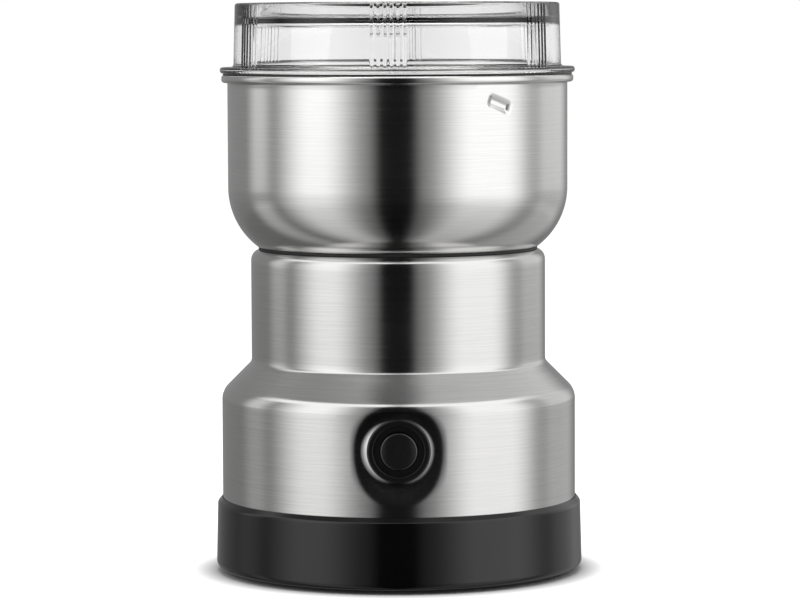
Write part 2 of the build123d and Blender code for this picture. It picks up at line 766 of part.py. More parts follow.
with BuildPart() as lid:
    with BuildSketch(Plane.XZ):
        with BuildLine():
            outline(
                [
                    (0, z_flange),
                    (flange_radius, z_flange),
                    (flange_radius, z_grip),
                    (grip_radius, z_grip),
                    (grip_radius - GRIP_DRAFT, z_lid_top),
                    (0, z_lid_top),
                ],
                [LID_FLANGE_ROUND, LID_FLANGE_ROUND, GRIP_FOOT_ROUND, GRIP_ROUND],
            )
        make_face()
        band(0, skirt_outer, z_skirt, z_flange)
        with BuildLine():
            outline(
                [
                    (0, z_skirt),
                    (skirt_inner, z_skirt),
                    (skirt_inner, z_flange),
                    (panel_radius + GRIP_DRAFT, z_grip),
                    (panel_radius, z_panel - PANEL_T),
                    (CROWN_FOOT_RADIUS, z_panel - PANEL_T),
                    (CROWN_RADIUS, z_crown - PANEL_T),
                    (0, z_crown - PANEL_T),
                ],
                [0, 0, 0, 0, CROWN_ROUND, CROWN_ROUND],
            )
        make_face(mode=Mode.SUBTRACT)
        with BuildLine():
            outline(
                [
                    (0, z_crown),
                    (CROWN_RADIUS, z_crown),
                    (CROWN_FOOT_RADIUS, z_panel),
                    (panel_radius, z_panel),
                    (panel_radius, z_lid_top + 1),
                    (0, z_lid_top + 1),
                ],
                [CROWN_ROUND, CROWN_ROUND, 0, 0],
            )
        make_face(mode=Mode.SUBTRACT)
    revolve()
    with BuildSketch(*rib_planes):
        Circle(RIB_RADIUS)
    extrude(amount=GRIP_HEIGHT - GRIP_ROUND)
    with PolarLocations(0, DENT_COUNT):
        add(track_cut.part, mode=Mode.SUBTRACT)
finish(lid, "lid")

# ---------------------------------------------------------------- motor, fixed pieces

with BuildPart() as stator_core:
    with BuildSketch(Plane.XY.offset(z_core)):
        RectangleRounded(CORE_X, CORE_Y, CORE_ROUND)
        Rectangle(CORE_X - 2 * YOKE_X, CORE_Y - 2 * YOKE_Y, mode=Mode.SUBTRACT)
        Rectangle(CORE_X - 2 * YOKE_X, POLE_WIDTH)
        Circle(stator_bore + POLE_SHOE)
        Circle(stator_bore, mode=Mode.SUBTRACT)
        Rectangle(POLE_GAP_WIDTH, CORE_Y - 2 * YOKE_Y, mode=Mode.SUBTRACT)
        with Locations((0, screw_line), (0, -screw_line)):
            Circle(MOTOR_SCREW_RADIUS + MOTOR_SCREW_CLEAR, mode=Mode.SUBTRACT)
    extrude(amount=core_length)
finish(stator_core, "stator_core")

coil_start = stator_bore + POLE_SHOE + COIL_GAP
coil_end = CORE_X / 2 - YOKE_X - COIL_GAP
z_core_mid = (z_core + z_core_top) / 2
for side, label in ((-1, "left"), (1, "right")):
    with BuildPart() as field_coil:
        face = Plane(origin=(side * coil_start, 0, z_core_mid), x_dir=(0, 1, 0), z_dir=(side, 0, 0))
        loop_y = POLE_WIDTH + 2 * COIL_GAP
        loop_z = core_length + 2 * COIL_GAP
        with BuildSketch(face):
            RectangleRounded(
                loop_y + 2 * COIL_WIDTH, core_length + 2 * COIL_OVERHANG, COIL_WIDTH / 2
            )
            Rectangle(loop_y, loop_z, mode=Mode.SUBTRACT)
        extrude(amount=coil_end - coil_start)
    finish(field_coil, f"field_coil_{label}")

with BuildPart() as upper_bracket:
    with BuildSketch(Plane.XY.offset(z_upper_leg)):
        RectangleRounded(BRACKET_WIDTH, CORE_Y, BRACKET_BAR)
    extrude(amount=BRACKET_BAR)
    with BuildSketch(Plane.XY.offset(z_core_top)):
        with Locations((0, screw_line), (0, -screw_line)):
            Rectangle(BRACKET_WIDTH, YOKE_Y)
    extrude(amount=UPPER_LEG)
    with BuildSketch(Plane.XY.offset(z_upper_case)):
        Circle(bearing_case)
    extrude(amount=BEARING_HOUSING)
    with BuildSketch(Plane.XY.offset(z_upper_bearing)):
        Circle(BEARING_RADIUS + PRESS_GAP)
    extrude(amount=BEARING_HOUSING, mode=Mode.SUBTRACT)
    with BuildSketch(Plane.XY.offset(z_upper_case)):
        Circle(SHAFT_RADIUS + AIR_GAP)
    extrude(amount=BEARING_HOUSING, mode=Mode.SUBTRACT)
    with BuildSketch(Plane.XY.offset(z_core_top)):
        with Locations((0, screw_line), (0, -screw_line)):
            Circle(MOTOR_SCREW_RADIUS + MOTOR_SCREW_CLEAR)
    extrude(amount=UPPER_LEG + BRACKET_BAR, mode=Mode.SUBTRACT)
finish(upper_bracket, "upper_bracket")

brush_end = BRUSH_HOLDER_START + BRUSH_HOLDER_LENGTH
holder_half = BRUSH_SIDE / 2 + FIT_GAP + BRUSH_HOLDER_WALL
with BuildPart() as lower_bracket:
    with BuildSketch(Plane.XY.offset(z_lower_bar)):
        RectangleRounded(BRACKET_WIDTH, CORE_Y, BRACKET_BAR)
        Rectangle(2 * brush_end, BRUSH_ARM)
    extrude(amount=BRACKET_BAR)
    with BuildSketch(Plane.XY.offset(z_lower_leg)):
        with Locations((0, screw_line), (0, -screw_line)):
            Rectangle(BRACKET_WIDTH, YOKE_Y)
    extrude(amount=LOWER_LEG)
    with BuildSketch(Plane.XY.offset(z_lower_leg)):
        stand = BRUSH_HOLDER_START + BRUSH_HOLDER_LENGTH / 2
        with Locations((stand, 0), (-stand, 0)):
            Rectangle(BRUSH_HOLDER_LENGTH, BRUSH_ARM)
    extrude(amount=BRUSH_STAND)
    with BuildSketch(Plane.XY.offset(z_lower_case)):
        Circle(bearing_case)
    extrude(amount=LOWER_HOUSING)
    with BuildSketch(Plane.XY.offset(z_lower_bearing)):
        Circle(BEARING_RADIUS + PRESS_GAP)
    extrude(amount=LOWER_HOUSING, mode=Mode.SUBTRACT)
    with BuildSketch(Plane.XY.offset(z_lower_case)):
        Circle(SHAFT_RADIUS + AIR_GAP)
    extrude(amount=LOWER_HOUSING, mode=Mode.SUBTRACT)
    with BuildSketch(Plane.XY.offset(z_lower_bar)):
        with Locations((0, screw_line), (0, -screw_line)):
            Circle(MOTOR_SCREW_RADIUS + MOTOR_SCREW_CLEAR)
    extrude(amount=LOWER_LEG + BRACKET_BAR, mode=Mode.SUBTRACT)
finish(lower_bracket, "lower_bracket")

sleeve("upper_bearing", BEARING_RADIUS, SHAFT_RADIUS + RUN_GAP, z_upper_bearing,
       z_upper_bearing + BEARING_DEPTH)
sleeve("lower_bearing", BEARING_RADIUS, SHAFT_RADIUS + RUN_GAP, z_lower_bearing,
       z_lower_bearing + BEARING_DEPTH)

with BuildPart() as motor_screws:
    with BuildSketch(Plane.XY.offset(z_lower_bar - MOTOR_SCREW_HEAD)):
        with Locations((0, screw_line), (0, -screw_line)):
            Circle(MOTOR_SCREW_HEAD_RADIUS)
    extrude(amount=MOTOR_SCREW_HEAD)
    with BuildSketch(Plane.XY.offset(z_lower_bar)):
        with Locations((0, screw_line), (0, -screw_line)):
            Circle(MOTOR_SCREW_RADIUS)
    extrude(amount=z_boss + MOTOR_SCREW_BITE - z_lower_bar)
finish(motor_screws, "motor_screws")

with BuildPart() as motor_mounts:
    with BuildSketch(Plane.XY.offset(z_upper_bar)):
        with Locations((0, screw_line), (0, -screw_line)):
            Circle(MOUNT_RADIUS)
            Circle(MOTOR_SCREW_RADIUS + MOTOR_SCREW_CLEAR, mode=Mode.SUBTRACT)
    extrude(amount=MOUNT_T)
finish(motor_mounts, "motor_mounts")

for side, label in ((-1, "left"), (1, "right")):
    holder_face = Plane(
        origin=(side * BRUSH_HOLDER_START, 0, z_brush), x_dir=(0, 1, 0), z_dir=(side, 0, 0)
    )
    brush_face = holder_face.offset(COMMUTATOR_RADIUS - BRUSH_HOLDER_START)
    cap_face = holder_face.offset(BRUSH_HOLDER_LENGTH)
    spring_start = COMMUTATOR_RADIUS + BRUSH_GAP + BRUSH_LENGTH
    spring_length = brush_end - spring_start - 2 * BRUSH_WIRE

    with BuildPart() as brush_holder:
        with BuildSketch(holder_face):
            Rectangle(2 * holder_half, 2 * holder_half)
            Rectangle(BRUSH_SIDE + 2 * FIT_GAP, BRUSH_SIDE + 2 * FIT_GAP, mode=Mode.SUBTRACT)
        extrude(amount=BRUSH_HOLDER_LENGTH)
    finish(brush_holder, f"brush_holder_{label}")

    with BuildPart() as carbon_brush:
        with BuildSketch(brush_face.offset(-1)):
            Rectangle(BRUSH_SIDE, BRUSH_SIDE)
        extrude(amount=BRUSH_LENGTH + BRUSH_GAP + 1)
        with BuildSketch(Plane.XY.offset(z_commutator)):
            Circle(COMMUTATOR_RADIUS + BRUSH_GAP)
        extrude(amount=COMMUTATOR_LENGTH, mode=Mode.SUBTRACT)
    finish(carbon_brush, f"carbon_brush_{label}")

    with BuildPart() as brush_spring:
        with BuildLine():
            coil = Helix(
                pitch=spring_length / BRUSH_SPRING_TURNS,
                height=spring_length,
                radius=BRUSH_SPRING_RADIUS,
                center=(side * (spring_start + BRUSH_WIRE), 0, z_brush),
                direction=(side, 0, 0),
            )
        with BuildSketch(Plane(origin=coil @ 0, z_dir=coil % 0)):
            Circle(BRUSH_WIRE)
        sweep()
    finish(brush_spring, f"brush_spring_{label}")

    with BuildPart() as brush_cap:
        with BuildSketch(cap_face):
            Rectangle(2 * holder_half, 2 * holder_half)
        extrude(amount=BRUSH_CAP_T)
        fillet(brush_cap.edges().filter_by(Axis.X), BRUSH_CAP_T / 2)
    finish(brush_cap, f"brush_cap_{label}")

# ---------------------------------------------------------------- motor, turning pieces

with BuildPart() as motor_shaft:
    with BuildSketch(Plane.XY.offset(z_fan - SHAFT_TAIL)):
        Circle(SHAFT_RADIUS)
    extrude(amount=z_shoulder - z_fan + SHAFT_TAIL)
    with BuildSketch(Plane.XY.offset(z_shoulder)):
        Circle(BLADE_SPIGOT)
    extrude(amount=z_blade_nut + BLADE_NUT_T - 1 - z_shoulder)
    chamfer(motor_shaft.edges().sort_by(Axis.Z)[-1], BLADE_SPIGOT / 5)
finish(motor_shaft, "motor_shaft")

slot_depth = ARMATURE_RADIUS - SLOT_ROOT
with BuildPart() as armature_core:
    with BuildSketch(Plane.XY.offset(z_core)):
        Circle(ARMATURE_RADIUS)
        Circle(SHAFT_RADIUS + PRESS_GAP, mode=Mode.SUBTRACT)
        with PolarLocations(SLOT_ROOT + slot_depth / 2, ARMATURE_SLOTS):
            Rectangle(slot_depth + 1, SLOT_WIDTH, mode=Mode.SUBTRACT)
    extrude(amount=core_length)
finish(armature_core, "armature_core")

with BuildPart() as armature_winding:
    winding_depth = WINDING_RADIUS - SLOT_ROOT - WINDING_GAP
    for low in (z_core - WINDING_GAP - WINDING_OVERHANG, z_core_top + WINDING_GAP):
        with BuildSketch(Plane.XY.offset(low)):
            Circle(WINDING_RADIUS)
            Circle(WINDING_BORE, mode=Mode.SUBTRACT)
        extrude(amount=WINDING_OVERHANG)
    with BuildSketch(Plane.XY.offset(z_core - WINDING_GAP)):
        with PolarLocations(SLOT_ROOT + WINDING_GAP + winding_depth / 2, ARMATURE_SLOTS):
            Rectangle(winding_depth, SLOT_WIDTH - 2 * WINDING_GAP)
    extrude(amount=core_length + 2 * WINDING_GAP)
finish(armature_winding, "armature_winding")

with BuildPart() as commutator:
    with BuildSketch(Plane.XY.offset(z_commutator)):
        Circle(COMMUTATOR_RADIUS)
        Circle(SHAFT_RADIUS + PRESS_GAP, mode=Mode.SUBTRACT)
        with PolarLocations(COMMUTATOR_RADIUS, ARMATURE_SLOTS):
            Rectangle(2 * COMMUTATOR_GROOVE, COMMUTATOR_GROOVE, mode=Mode.SUBTRACT)
    extrude(amount=COMMUTATOR_LENGTH)
finish(commutator, "commutator")

with BuildPart() as cooling_fan:
    with BuildSketch(Plane.XY.offset(z_fan_top - FAN_DISC)):
        Circle(FAN_RADIUS)
    extrude(amount=FAN_DISC)
    with BuildSketch(Plane.XY.offset(z_fan)):
        Circle(FAN_HUB_RADIUS)
        with PolarLocations((FAN_RADIUS + FAN_HUB_RADIUS - 1) / 2, FAN_BLADES):
            Rectangle(FAN_RADIUS - FAN_HUB_RADIUS, FAN_DISC)
    extrude(amount=FAN_LENGTH - FAN_DISC)
    with BuildSketch(Plane.XY.offset(z_fan)):
        Circle(SHAFT_RADIUS + PRESS_GAP)
    extrude(amount=FAN_LENGTH, mode=Mode.SUBTRACT)
finish(cooling_fan, "cooling_fan")

sleeve("blade_spacer", SPACER_RADIUS, BLADE_SPIGOT + PRESS_GAP, z_shoulder, z_blades)


def cutting_blade(low, tip_rise, turn):
    """Bar with two swept, bent and pointed arms on the spigot."""
    with BuildPart() as blade:
        with BuildSketch(Plane.XZ.offset(-BLADE_WIDTH)):
            Polygon(
                (-BLADE_REACH, low + tip_rise),
                (-BLADE_BEND, low),
                (BLADE_BEND, low),
                (BLADE_REACH, low + tip_rise),
                (BLADE_REACH, low + tip_rise + BLADE_T),
                (BLADE_BEND, low + BLADE_T),
                (-BLADE_BEND, low + BLADE_T),
                (-BLADE_REACH, low + tip_rise + BLADE_T),
                align=None,
            )
        extrude(amount=2 * BLADE_WIDTH)
        with BuildSketch(Plane.XY.offset(low - abs(tip_rise) - 1)) as plan:
            with BuildLine():
                front = ThreePointArc(
                    (0, BLADE_WIDTH / 2), (BLADE_BEND, BLADE_WIDTH / 2), (BLADE_REACH, 0)
                )
                Line(front @ 1, (BLADE_REACH, -BLADE_WIDTH / 4))
                tail = ThreePointArc(
                    (BLADE_REACH, -BLADE_WIDTH / 4), (BLADE_BEND, -1), (0, -BLADE_WIDTH / 2)
                )
                Line(tail @ 1, front @ 0)
            make_face()
            mirror_arm = plan.sketch.rotate(Axis.Z, 180)
            add(mirror_arm)
            Circle(SPACER_RADIUS)
        extrude(amount=2 * abs(tip_rise) + BLADE_T + 2, mode=Mode.INTERSECT)
        with BuildSketch(Plane.XY.offset(low)):
            Circle(BLADE_SPIGOT + PRESS_GAP)
        extrude(amount=BLADE_T, mode=Mode.SUBTRACT)
    blade.part = blade.part.rotate(Axis.Z, turn)
    return blade


finish(cutting_blade(z_blades, -LOWER_TIP_DROP, BLADE_TURN), "lower_blade")
upper_turn = BLADE_TURN + BLADE_CROSSING
finish(cutting_blade(z_blades + BLADE_T, UPPER_TIP_RISE, upper_turn), "upper_blade")

with BuildPart() as blade_nut:
    with BuildSketch(Plane.XY.offset(z_blade_nut)):
        RegularPolygon(BLADE_NUT_RADIUS, 6)
    extrude(amount=BLADE_NUT_T)
    fillet(blade_nut.faces().sort_by(Axis.Z)[-1].edges(), BLADE_NUT_T / 5)
    with BuildSketch(Plane.XY.offset(z_blade_nut)):
        Circle(BLADE_SPIGOT + PRESS_GAP)
    extrude(amount=BLADE_NUT_T - 1 + FIT_GAP, mode=Mode.SUBTRACT)
finish(blade_nut, "blade_nut")

# ---------------------------------------------------------------- push switch

barrel_bore = CAP_RADIUS + SLIDE_GAP
collar_radius = CAP_RADIUS + CAP_COLLAR_REACH
rear_bore = collar_radius + SLIDE_GAP

with BuildPart() as switch_bezel:
    with BuildSketch(switch_section):
        with BuildLine():
            Polyline(
                (barrel_bore, y_bezel + BEZEL_STEP),
                (BEZEL_STEP_RADIUS, y_bezel + BEZEL_STEP),
                (BEZEL_STEP_RADIUS, y_bezel),
                (BEZEL_RADIUS - BEZEL_CHAMFER, y_bezel),
                (BEZEL_RADIUS, y_bezel + BEZEL_CHAMFER),
                (BEZEL_RADIUS, y_dish),
                (BARREL_RADIUS, y_dish),
                (BARREL_RADIUS, y_barrel_end),
                (rear_bore, y_barrel_end),
                (rear_bore, y_step),
                (barrel_bore, y_step),
                close=True,
            )
        make_face()
    revolve(axis=switch_axis)
finish(switch_bezel, "switch_bezel")

with BuildPart() as switch_nut:
    with BuildSketch(cross_plane(y_dish + STEEL)):
        with Locations((0, -z_switch)):
            RegularPolygon(SWITCH_NUT_FLATS / 2, 6, major_radius=False)
            Circle(BARREL_RADIUS + FIT_GAP, mode=Mode.SUBTRACT)
    extrude(amount=SWITCH_NUT_T)
finish(switch_nut, "switch_nut")

with BuildPart() as switch_housing:
    with BuildSketch(switch_section):
        with BuildLine():
            Polyline(
                (BARREL_RADIUS + FIT_GAP, y_barrel_end - SWITCH_COLLAR),
                (SWITCH_CASE_RADIUS, y_barrel_end - SWITCH_COLLAR),
                (SWITCH_CASE_RADIUS, y_case_end),
                (0, y_case_end),
                (0, y_cavity_end),
                (SWITCH_CAVITY, y_cavity_end),
                (SWITCH_CAVITY, y_case_back),
                (STEM_RADIUS + SLIDE_GAP, y_case_back),
                (STEM_RADIUS + SLIDE_GAP, y_barrel_end),
                (BARREL_RADIUS + FIT_GAP, y_barrel_end),
                close=True,
            )
        make_face()
    revolve(axis=switch_axis)
    with BuildSketch(cross_plane(y_cavity_end)):
        with Locations((TERMINAL_SPREAD, -z_switch), (-TERMINAL_SPREAD, -z_switch)):
            Rectangle(TERMINAL_T + 2 * FIT_GAP, TERMINAL_WIDTH + 2 * FIT_GAP)
    extrude(amount=SWITCH_CASE_WALL, mode=Mode.SUBTRACT)
finish(switch_housing, "switch_housing")

with BuildPart() as switch_terminals:
    with BuildSketch(cross_plane(y_contact)):
        with Locations((TERMINAL_SPREAD, -z_switch), (-TERMINAL_SPREAD, -z_switch)):
            Rectangle(TERMINAL_WIDTH, TERMINAL_WIDTH)
    extrude(amount=TERMINAL_T)
    with BuildSketch(cross_plane(y_contact + TERMINAL_T)):
        with Locations((TERMINAL_SPREAD, -z_switch), (-TERMINAL_SPREAD, -z_switch)):
            Rectangle(TERMINAL_T, TERMINAL_WIDTH)
    extrude(amount=y_terminal_end - y_contact - TERMINAL_T)
finish(switch_terminals, "switch_terminals")

with BuildPart() as button:
    with BuildSketch(switch_section):
        with BuildLine():
            outline(
                [
                    (0, y_cap),
                    (CAP_RADIUS, y_cap),
                    (CAP_RADIUS, y_collar),
                    (collar_radius, y_collar),
                    (collar_radius, y_collar + CAP_COLLAR),
                    (STEM_RADIUS, y_collar + CAP_COLLAR),
                    (STEM_RADIUS, y_bridge),
                    (0, y_bridge),
                ],
                [CAP_ROUND, 0, 0, 0, 0, 0],
            )
        make_face()
    revolve(axis=switch_axis)
finish(button, "button")

with BuildPart() as contact_bridge:
    with BuildSketch(cross_plane(y_bridge)):
        with Locations((0, -z_switch)):
            SlotOverall(BRIDGE_LENGTH, BRIDGE_WIDTH)
    extrude(amount=BRIDGE_T)
finish(contact_bridge, "contact_bridge")

spring_front = y_collar + CAP_COLLAR + 1.5 * SWITCH_WIRE
spring_reach = y_barrel_end - 1.5 * SWITCH_WIRE - spring_front
with BuildPart() as switch_spring:
    with BuildLine():
        coil = Helix(
            pitch=spring_reach / SWITCH_SPRING_TURNS,
            height=spring_reach,
            radius=SWITCH_SPRING_RADIUS,
            center=(0, spring_front, z_switch),
            direction=(0, 1, 0),
        )
    with BuildSketch(Plane(origin=coil @ 0, z_dir=coil % 0)):
        Circle(SWITCH_WIRE)
    sweep()
finish(switch_spring, "switch_spring")
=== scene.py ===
import bpy
import bmesh
from math import atan2, cos, degrees, hypot, pi, radians, sin, sqrt, tan, tau
from mathutils import Matrix, Quaternion, Vector


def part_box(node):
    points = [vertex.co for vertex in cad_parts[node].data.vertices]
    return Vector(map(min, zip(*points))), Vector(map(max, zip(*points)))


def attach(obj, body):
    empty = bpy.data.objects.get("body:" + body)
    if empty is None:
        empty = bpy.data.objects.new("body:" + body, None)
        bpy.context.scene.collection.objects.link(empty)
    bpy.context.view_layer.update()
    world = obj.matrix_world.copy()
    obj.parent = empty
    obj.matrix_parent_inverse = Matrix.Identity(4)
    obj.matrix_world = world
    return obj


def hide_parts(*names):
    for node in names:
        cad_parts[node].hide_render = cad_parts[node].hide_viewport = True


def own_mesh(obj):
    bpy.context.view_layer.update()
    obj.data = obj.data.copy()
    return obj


# Electric spice grinder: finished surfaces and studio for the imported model.
# Pieces are drawn in millimetres about the main axis and made metres when they are finished.

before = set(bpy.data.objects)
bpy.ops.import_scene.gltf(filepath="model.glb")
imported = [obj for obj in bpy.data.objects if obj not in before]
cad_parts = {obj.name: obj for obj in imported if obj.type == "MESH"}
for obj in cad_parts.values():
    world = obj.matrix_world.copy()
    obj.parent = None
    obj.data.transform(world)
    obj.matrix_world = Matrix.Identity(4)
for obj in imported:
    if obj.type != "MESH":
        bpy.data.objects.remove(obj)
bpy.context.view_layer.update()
scene = bpy.context.scene

MM = 0.001


def low(node):
    """Underside of a node, in millimetres."""
    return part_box(node)[0].z / MM


def high(node):
    """Top of a node, in millimetres."""
    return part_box(node)[1].z / MM


# Sheet steel body
STEEL = 0.6
DRUM_RADIUS = 50.2
NECK_RADIUS = 41.75
NECK_HEIGHT = 31.81
DRUM_ROUND = 5.0
NECK_FOOT_ROUND = 2.0
NECK_ROUND = 3.0
LIP_REACH = 0.55
MOUTH_RADIUS = NECK_RADIUS - NECK_ROUND + LIP_REACH
Z_SEAT = low("body_shell")
Z_CREST = high("body_shell") + NECK_ROUND - sqrt(NECK_ROUND**2 - LIP_REACH**2)
Z_NECK = Z_CREST - NECK_HEIGHT
Z_DRUM = Z_NECK - (DRUM_RADIUS - NECK_RADIUS)

# Flat pressed around the switch, raised a little against its flange
Z_SWITCH = (low("button") + high("button")) / 2
Y_FLAT = -49.0
FLAT_BEND = 160.0
FLAT_CORE = 9.5
FLAT_EDGE = 15.5
BULGE_EDGE = 10.4
BULGE_CURVE = 0.18
BULGE_SHIFT = (-0.5, -0.15)
BULGE_INSIDE = 8.0
FLAT_RISE = 1.22
FLAT_FALL = 1.0
FLAT_TOP = 0.5
FLAT_TOP_FADE = 3.0
FLAT_BLEND = 0.003
FLAT_FINE_REACH = 19.0
FLAT_REACH = 22.0
BARREL_HOLE = 6.45

# Bowl
RIM_HEIGHT = 2.3
BOWL_RADIUS = 48.1
BOWL_INNER = BOWL_RADIUS - STEEL
BOWL_CORNER = 21.0
RIM_RADIUS = 49.8
RIM_ROUND = 0.9
BUSH_HOLE = 7.05
Z_BOWL = low("bowl")
Z_RIM_TOP = high("bowl")
Z_RIM = Z_RIM_TOP - RIM_HEIGHT

# Locking dents, pressed into the bowl's wall
DENT_ANGLES = (-54.5, 125.5)
DENT_DROP = 5.6
DENT_TILT = -19.6
DENT_HALF_LENGTH = 2.7
DENT_HALF_WIDTH = 0.6
DENT_SLOPE = 1.7
DENT_DEPTH = 0.8
DENT_CURVE = 1.7
DENT_REACH = 8.0
Z_DENT = Z_RIM - DENT_DROP

# Lid
LID_FLANGE = 1.7
PANEL_DEPTH = 4.5
PANEL_T = 1.4
CROWN_HEIGHT = 2.85
CROWN_RADIUS = 33.0
CROWN_FOOT_RADIUS = 38.0
CROWN_ROUND = 3.0
FLANGE_RADIUS = 50.2
FLANGE_ROUND = 0.7
GRIP_RADIUS = 46.35
GRIP_DRAFT = 0.5
GRIP_WALL = 2.2
GRIP_FOOT_ROUND = 1.0
LID_TOP_ROUND = 0.7
LID_RIM_ROUND = 0.4
SKIRT_OUTER = 46.9
SKIRT_INNER = 44.3
TRACK_FLOOR = 45.14
TRACK_HALF_HEIGHT = 4.22
TRACK_HALF_ANGLE = 6.35
TRACK_EDGE = 0.1
TRACK_EDGE_ANGLE = 0.1
SLACK = 0.02
LOCK_TURN = 20.0
RIB_RADIUS = 0.55
RIB_SUNK = 0.2
RIB_PITCH = 2.22
RIBS_PER_GROUP = 6
RIB_GROUPS = 6
RIB_GROUP_ANGLE = -93.0
RIB_GROUP_WIDTH = 13.0
Z_SKIRT = low("lid")
Z_FLANGE = high("lid_seal")
Z_GRIP = Z_FLANGE + LID_FLANGE
Z_LID_TOP = high("lid")
Z_PANEL = Z_LID_TOP - PANEL_DEPTH
Z_CROWN = Z_PANEL + CROWN_HEIGHT
Z_TRACK_LOW = Z_DENT - TRACK_HALF_HEIGHT
Z_TRACK_TOP = Z_DENT + TRACK_HALF_HEIGHT

# Switch, measured forward of the main axis
FLANGE_FRONT = 50.9
FLANGE_BACK = 48.5
FLANGE_STEP = 0.6
BEZEL_RADIUS = 8.75
BEZEL_STEP_RADIUS = 7.0
BARREL_RADIUS = 6.4
BARREL_END = 38.0
BARREL_STEP = 47.0
BARREL_BORE = 5.25
REAR_BORE = 5.7
CAP_FRONT = 51.6
CAP_DOME = 0.22
CAP_RADIUS = 5.1
COLLAR_FRONT = 46.95
COLLAR_BACK = 45.75
COLLAR_RADIUS = 5.55
STEM_RADIUS = 1.8
STEM_END = 35.6
SPRING_RADIUS = 4.4
SPRING_WIRE = 0.35
SPRING_TURNS = 4


# ---------------------------------------------------------------- mesh helpers


def smooth_step(value, start, end):
    """0 at start, 1 at end, with level ends."""
    t = min(max((value - start) / (end - start), 0.0), 1.0)
    return t * t * (3 - 2 * t)


def round_corner(bm, corner, before, after, radius):
    """Round one corner of a wire section."""
    to_before = (before - corner.co).normalized()
    to_after = (after - corner.co).normalized()
    turn = pi - to_before.angle(to_after)
    bmesh.ops.bevel(
        bm,
        geom=[corner],
        offset=radius * tan(turn / 2),
        offset_type="OFFSET",
        segments=4 + int(radius * turn),
        profile=0.5,
        affect="VERTICES",
        material=-1,
    )


def section(points, closed=True):
    """Wire section through (radius, height, round) points."""
    bm = bmesh.new()
    places = [Vector((radius, 0, height)) for radius, height, _ in points]
    corners = [bm.verts.new(place) for place in places]
    count = len(corners)
    for index in range(count if closed else count - 1):
        bm.edges.new((corners[index], corners[(index + 1) % count]))
    for index, (_, _, radius) in enumerate(points):
        if radius:
            before = places[index - 1]
            after = places[(index + 1) % count]
            round_corner(bm, corners[index], before, after, radius)
    return bm


# How finely walls are divided: the longest edge of a steel wall, the most cuts in an edge,
# and the steps round the sheet steel and round the switch
WALL_SPACING = 1.4
MOST_CUTS = 24
SHEET_STEPS = 240
SWITCH_STEPS = 128


def divide_long_edges(bm, longest):
    """Add points along a section's long edges, so that the walls between its rounds stay true."""
    for edge in list(bm.edges):
        cuts = min(int(edge.calc_length() / longest), MOST_CUTS)
        if cuts:
            bmesh.ops.subdivide_edges(bm, edges=[edge], cuts=cuts)


def turn_section(bm, steps):
    """Spin a wire section once about the main axis."""
    bmesh.ops.spin(
        bm,
        geom=bm.verts[:] + bm.edges[:],
        cent=(0, 0, 0),
        axis=(0, 0, 1),
        angle=tau,
        steps=steps,
        use_merge=True,
    )
    tidy_faces(bm)


def tidy_faces(bm):
    """Merge doubled corners and turn every face outwards."""
    bmesh.ops.remove_doubles(bm, verts=bm.verts[:], dist=0.001)
    bmesh.ops.recalc_face_normals(bm, faces=bm.faces[:])


def face_front(bm):
    """Turn a piece drawn about the main axis to lie on the switch's axis."""
    bmesh.ops.rotate(bm, verts=bm.verts[:], cent=(0, 0, 0), matrix=Matrix.Rotation(pi / 2, 3, "X"))
    bmesh.ops.translate(bm, verts=bm.verts[:], vec=(0, 0, Z_SWITCH))


def finish_piece(bm, name, body, node, slot, sharp=35.0):
    """Make the drawn mesh a piece that stands for a node of the model."""
    bmesh.ops.scale(bm, vec=(MM, MM, MM), verts=bm.verts[:])
    mesh = bpy.data.meshes.new(name)
    bm.to_mesh(mesh)
    bm.free()
    mesh.shade_smooth()
    mesh.set_sharp_from_angle(angle=radians(sharp))
    piece = bpy.data.objects.new(name, mesh)
    scene.collection.objects.link(piece)
    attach(piece, body)
    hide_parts(node)
    mesh.materials.append(finishes[slot])
    return piece


# ---------------------------------------------------------------- shader helpers


def add_node(tree, kind, inputs=None, **settings):
    """Add a node, set it up and link or set its inputs."""
    made = tree.nodes.new(kind)
    for name, value in settings.items():
        setattr(made, name, value)
    for socket, value in (inputs or {}).items():
        if isinstance(value, bpy.types.NodeSocket):
            tree.links.new(value, made.inputs[socket])
        else:
            made.inputs[socket].default_value = value
    return made


def calculate(tree, operation, *values):
    """Math node on numbers or sockets."""
    inputs = dict(enumerate(values))
    return add_node(tree, "ShaderNodeMath", inputs, operation=operation).outputs[0]


def remap(tree, value, low, high, new_low, new_high, kind="LINEAR"):
    """Spread a value over a new range."""
    inputs = {0: value, 1: low, 2: high, 3: new_low, 4: new_high}
    return add_node(tree, "ShaderNodeMapRange", inputs, interpolation_type=kind).outputs[0]


def mix_colors(tree, factor, first, second):
    """Mix of two colours."""
    made = add_node(tree, "ShaderNodeMix", data_type="RGBA")
    sockets = {"Factor_Float": factor, "A_Color": first, "B_Color": second}
    for socket in made.inputs:
        if socket.identifier in sockets:
            value = sockets[socket.identifier]
            if isinstance(value, bpy.types.NodeSocket):
                tree.links.new(value, socket)
            else:
                socket.default_value = value
    return next(o for o in made.outputs if o.identifier == "Result_Color")


def new_group(name, inputs, outputs):
    """Empty shader group with named inputs and outputs."""
    group = bpy.data.node_groups.new(name, "ShaderNodeTree")
    for label, default in inputs.items():
        kind = "NodeSocketColor" if isinstance(default, tuple) else "NodeSocketFloat"
        socket = group.interface.new_socket(name=label, in_out="INPUT", socket_type=kind)
        socket.default_value = default
    for label, kind in outputs.items():
        group.interface.new_socket(name=label, in_out="OUTPUT", socket_type=kind)
    start = group.nodes.new("NodeGroupInput")
    end = group.nodes.new("NodeGroupOutput")
    return group, start.outputs, end.inputs


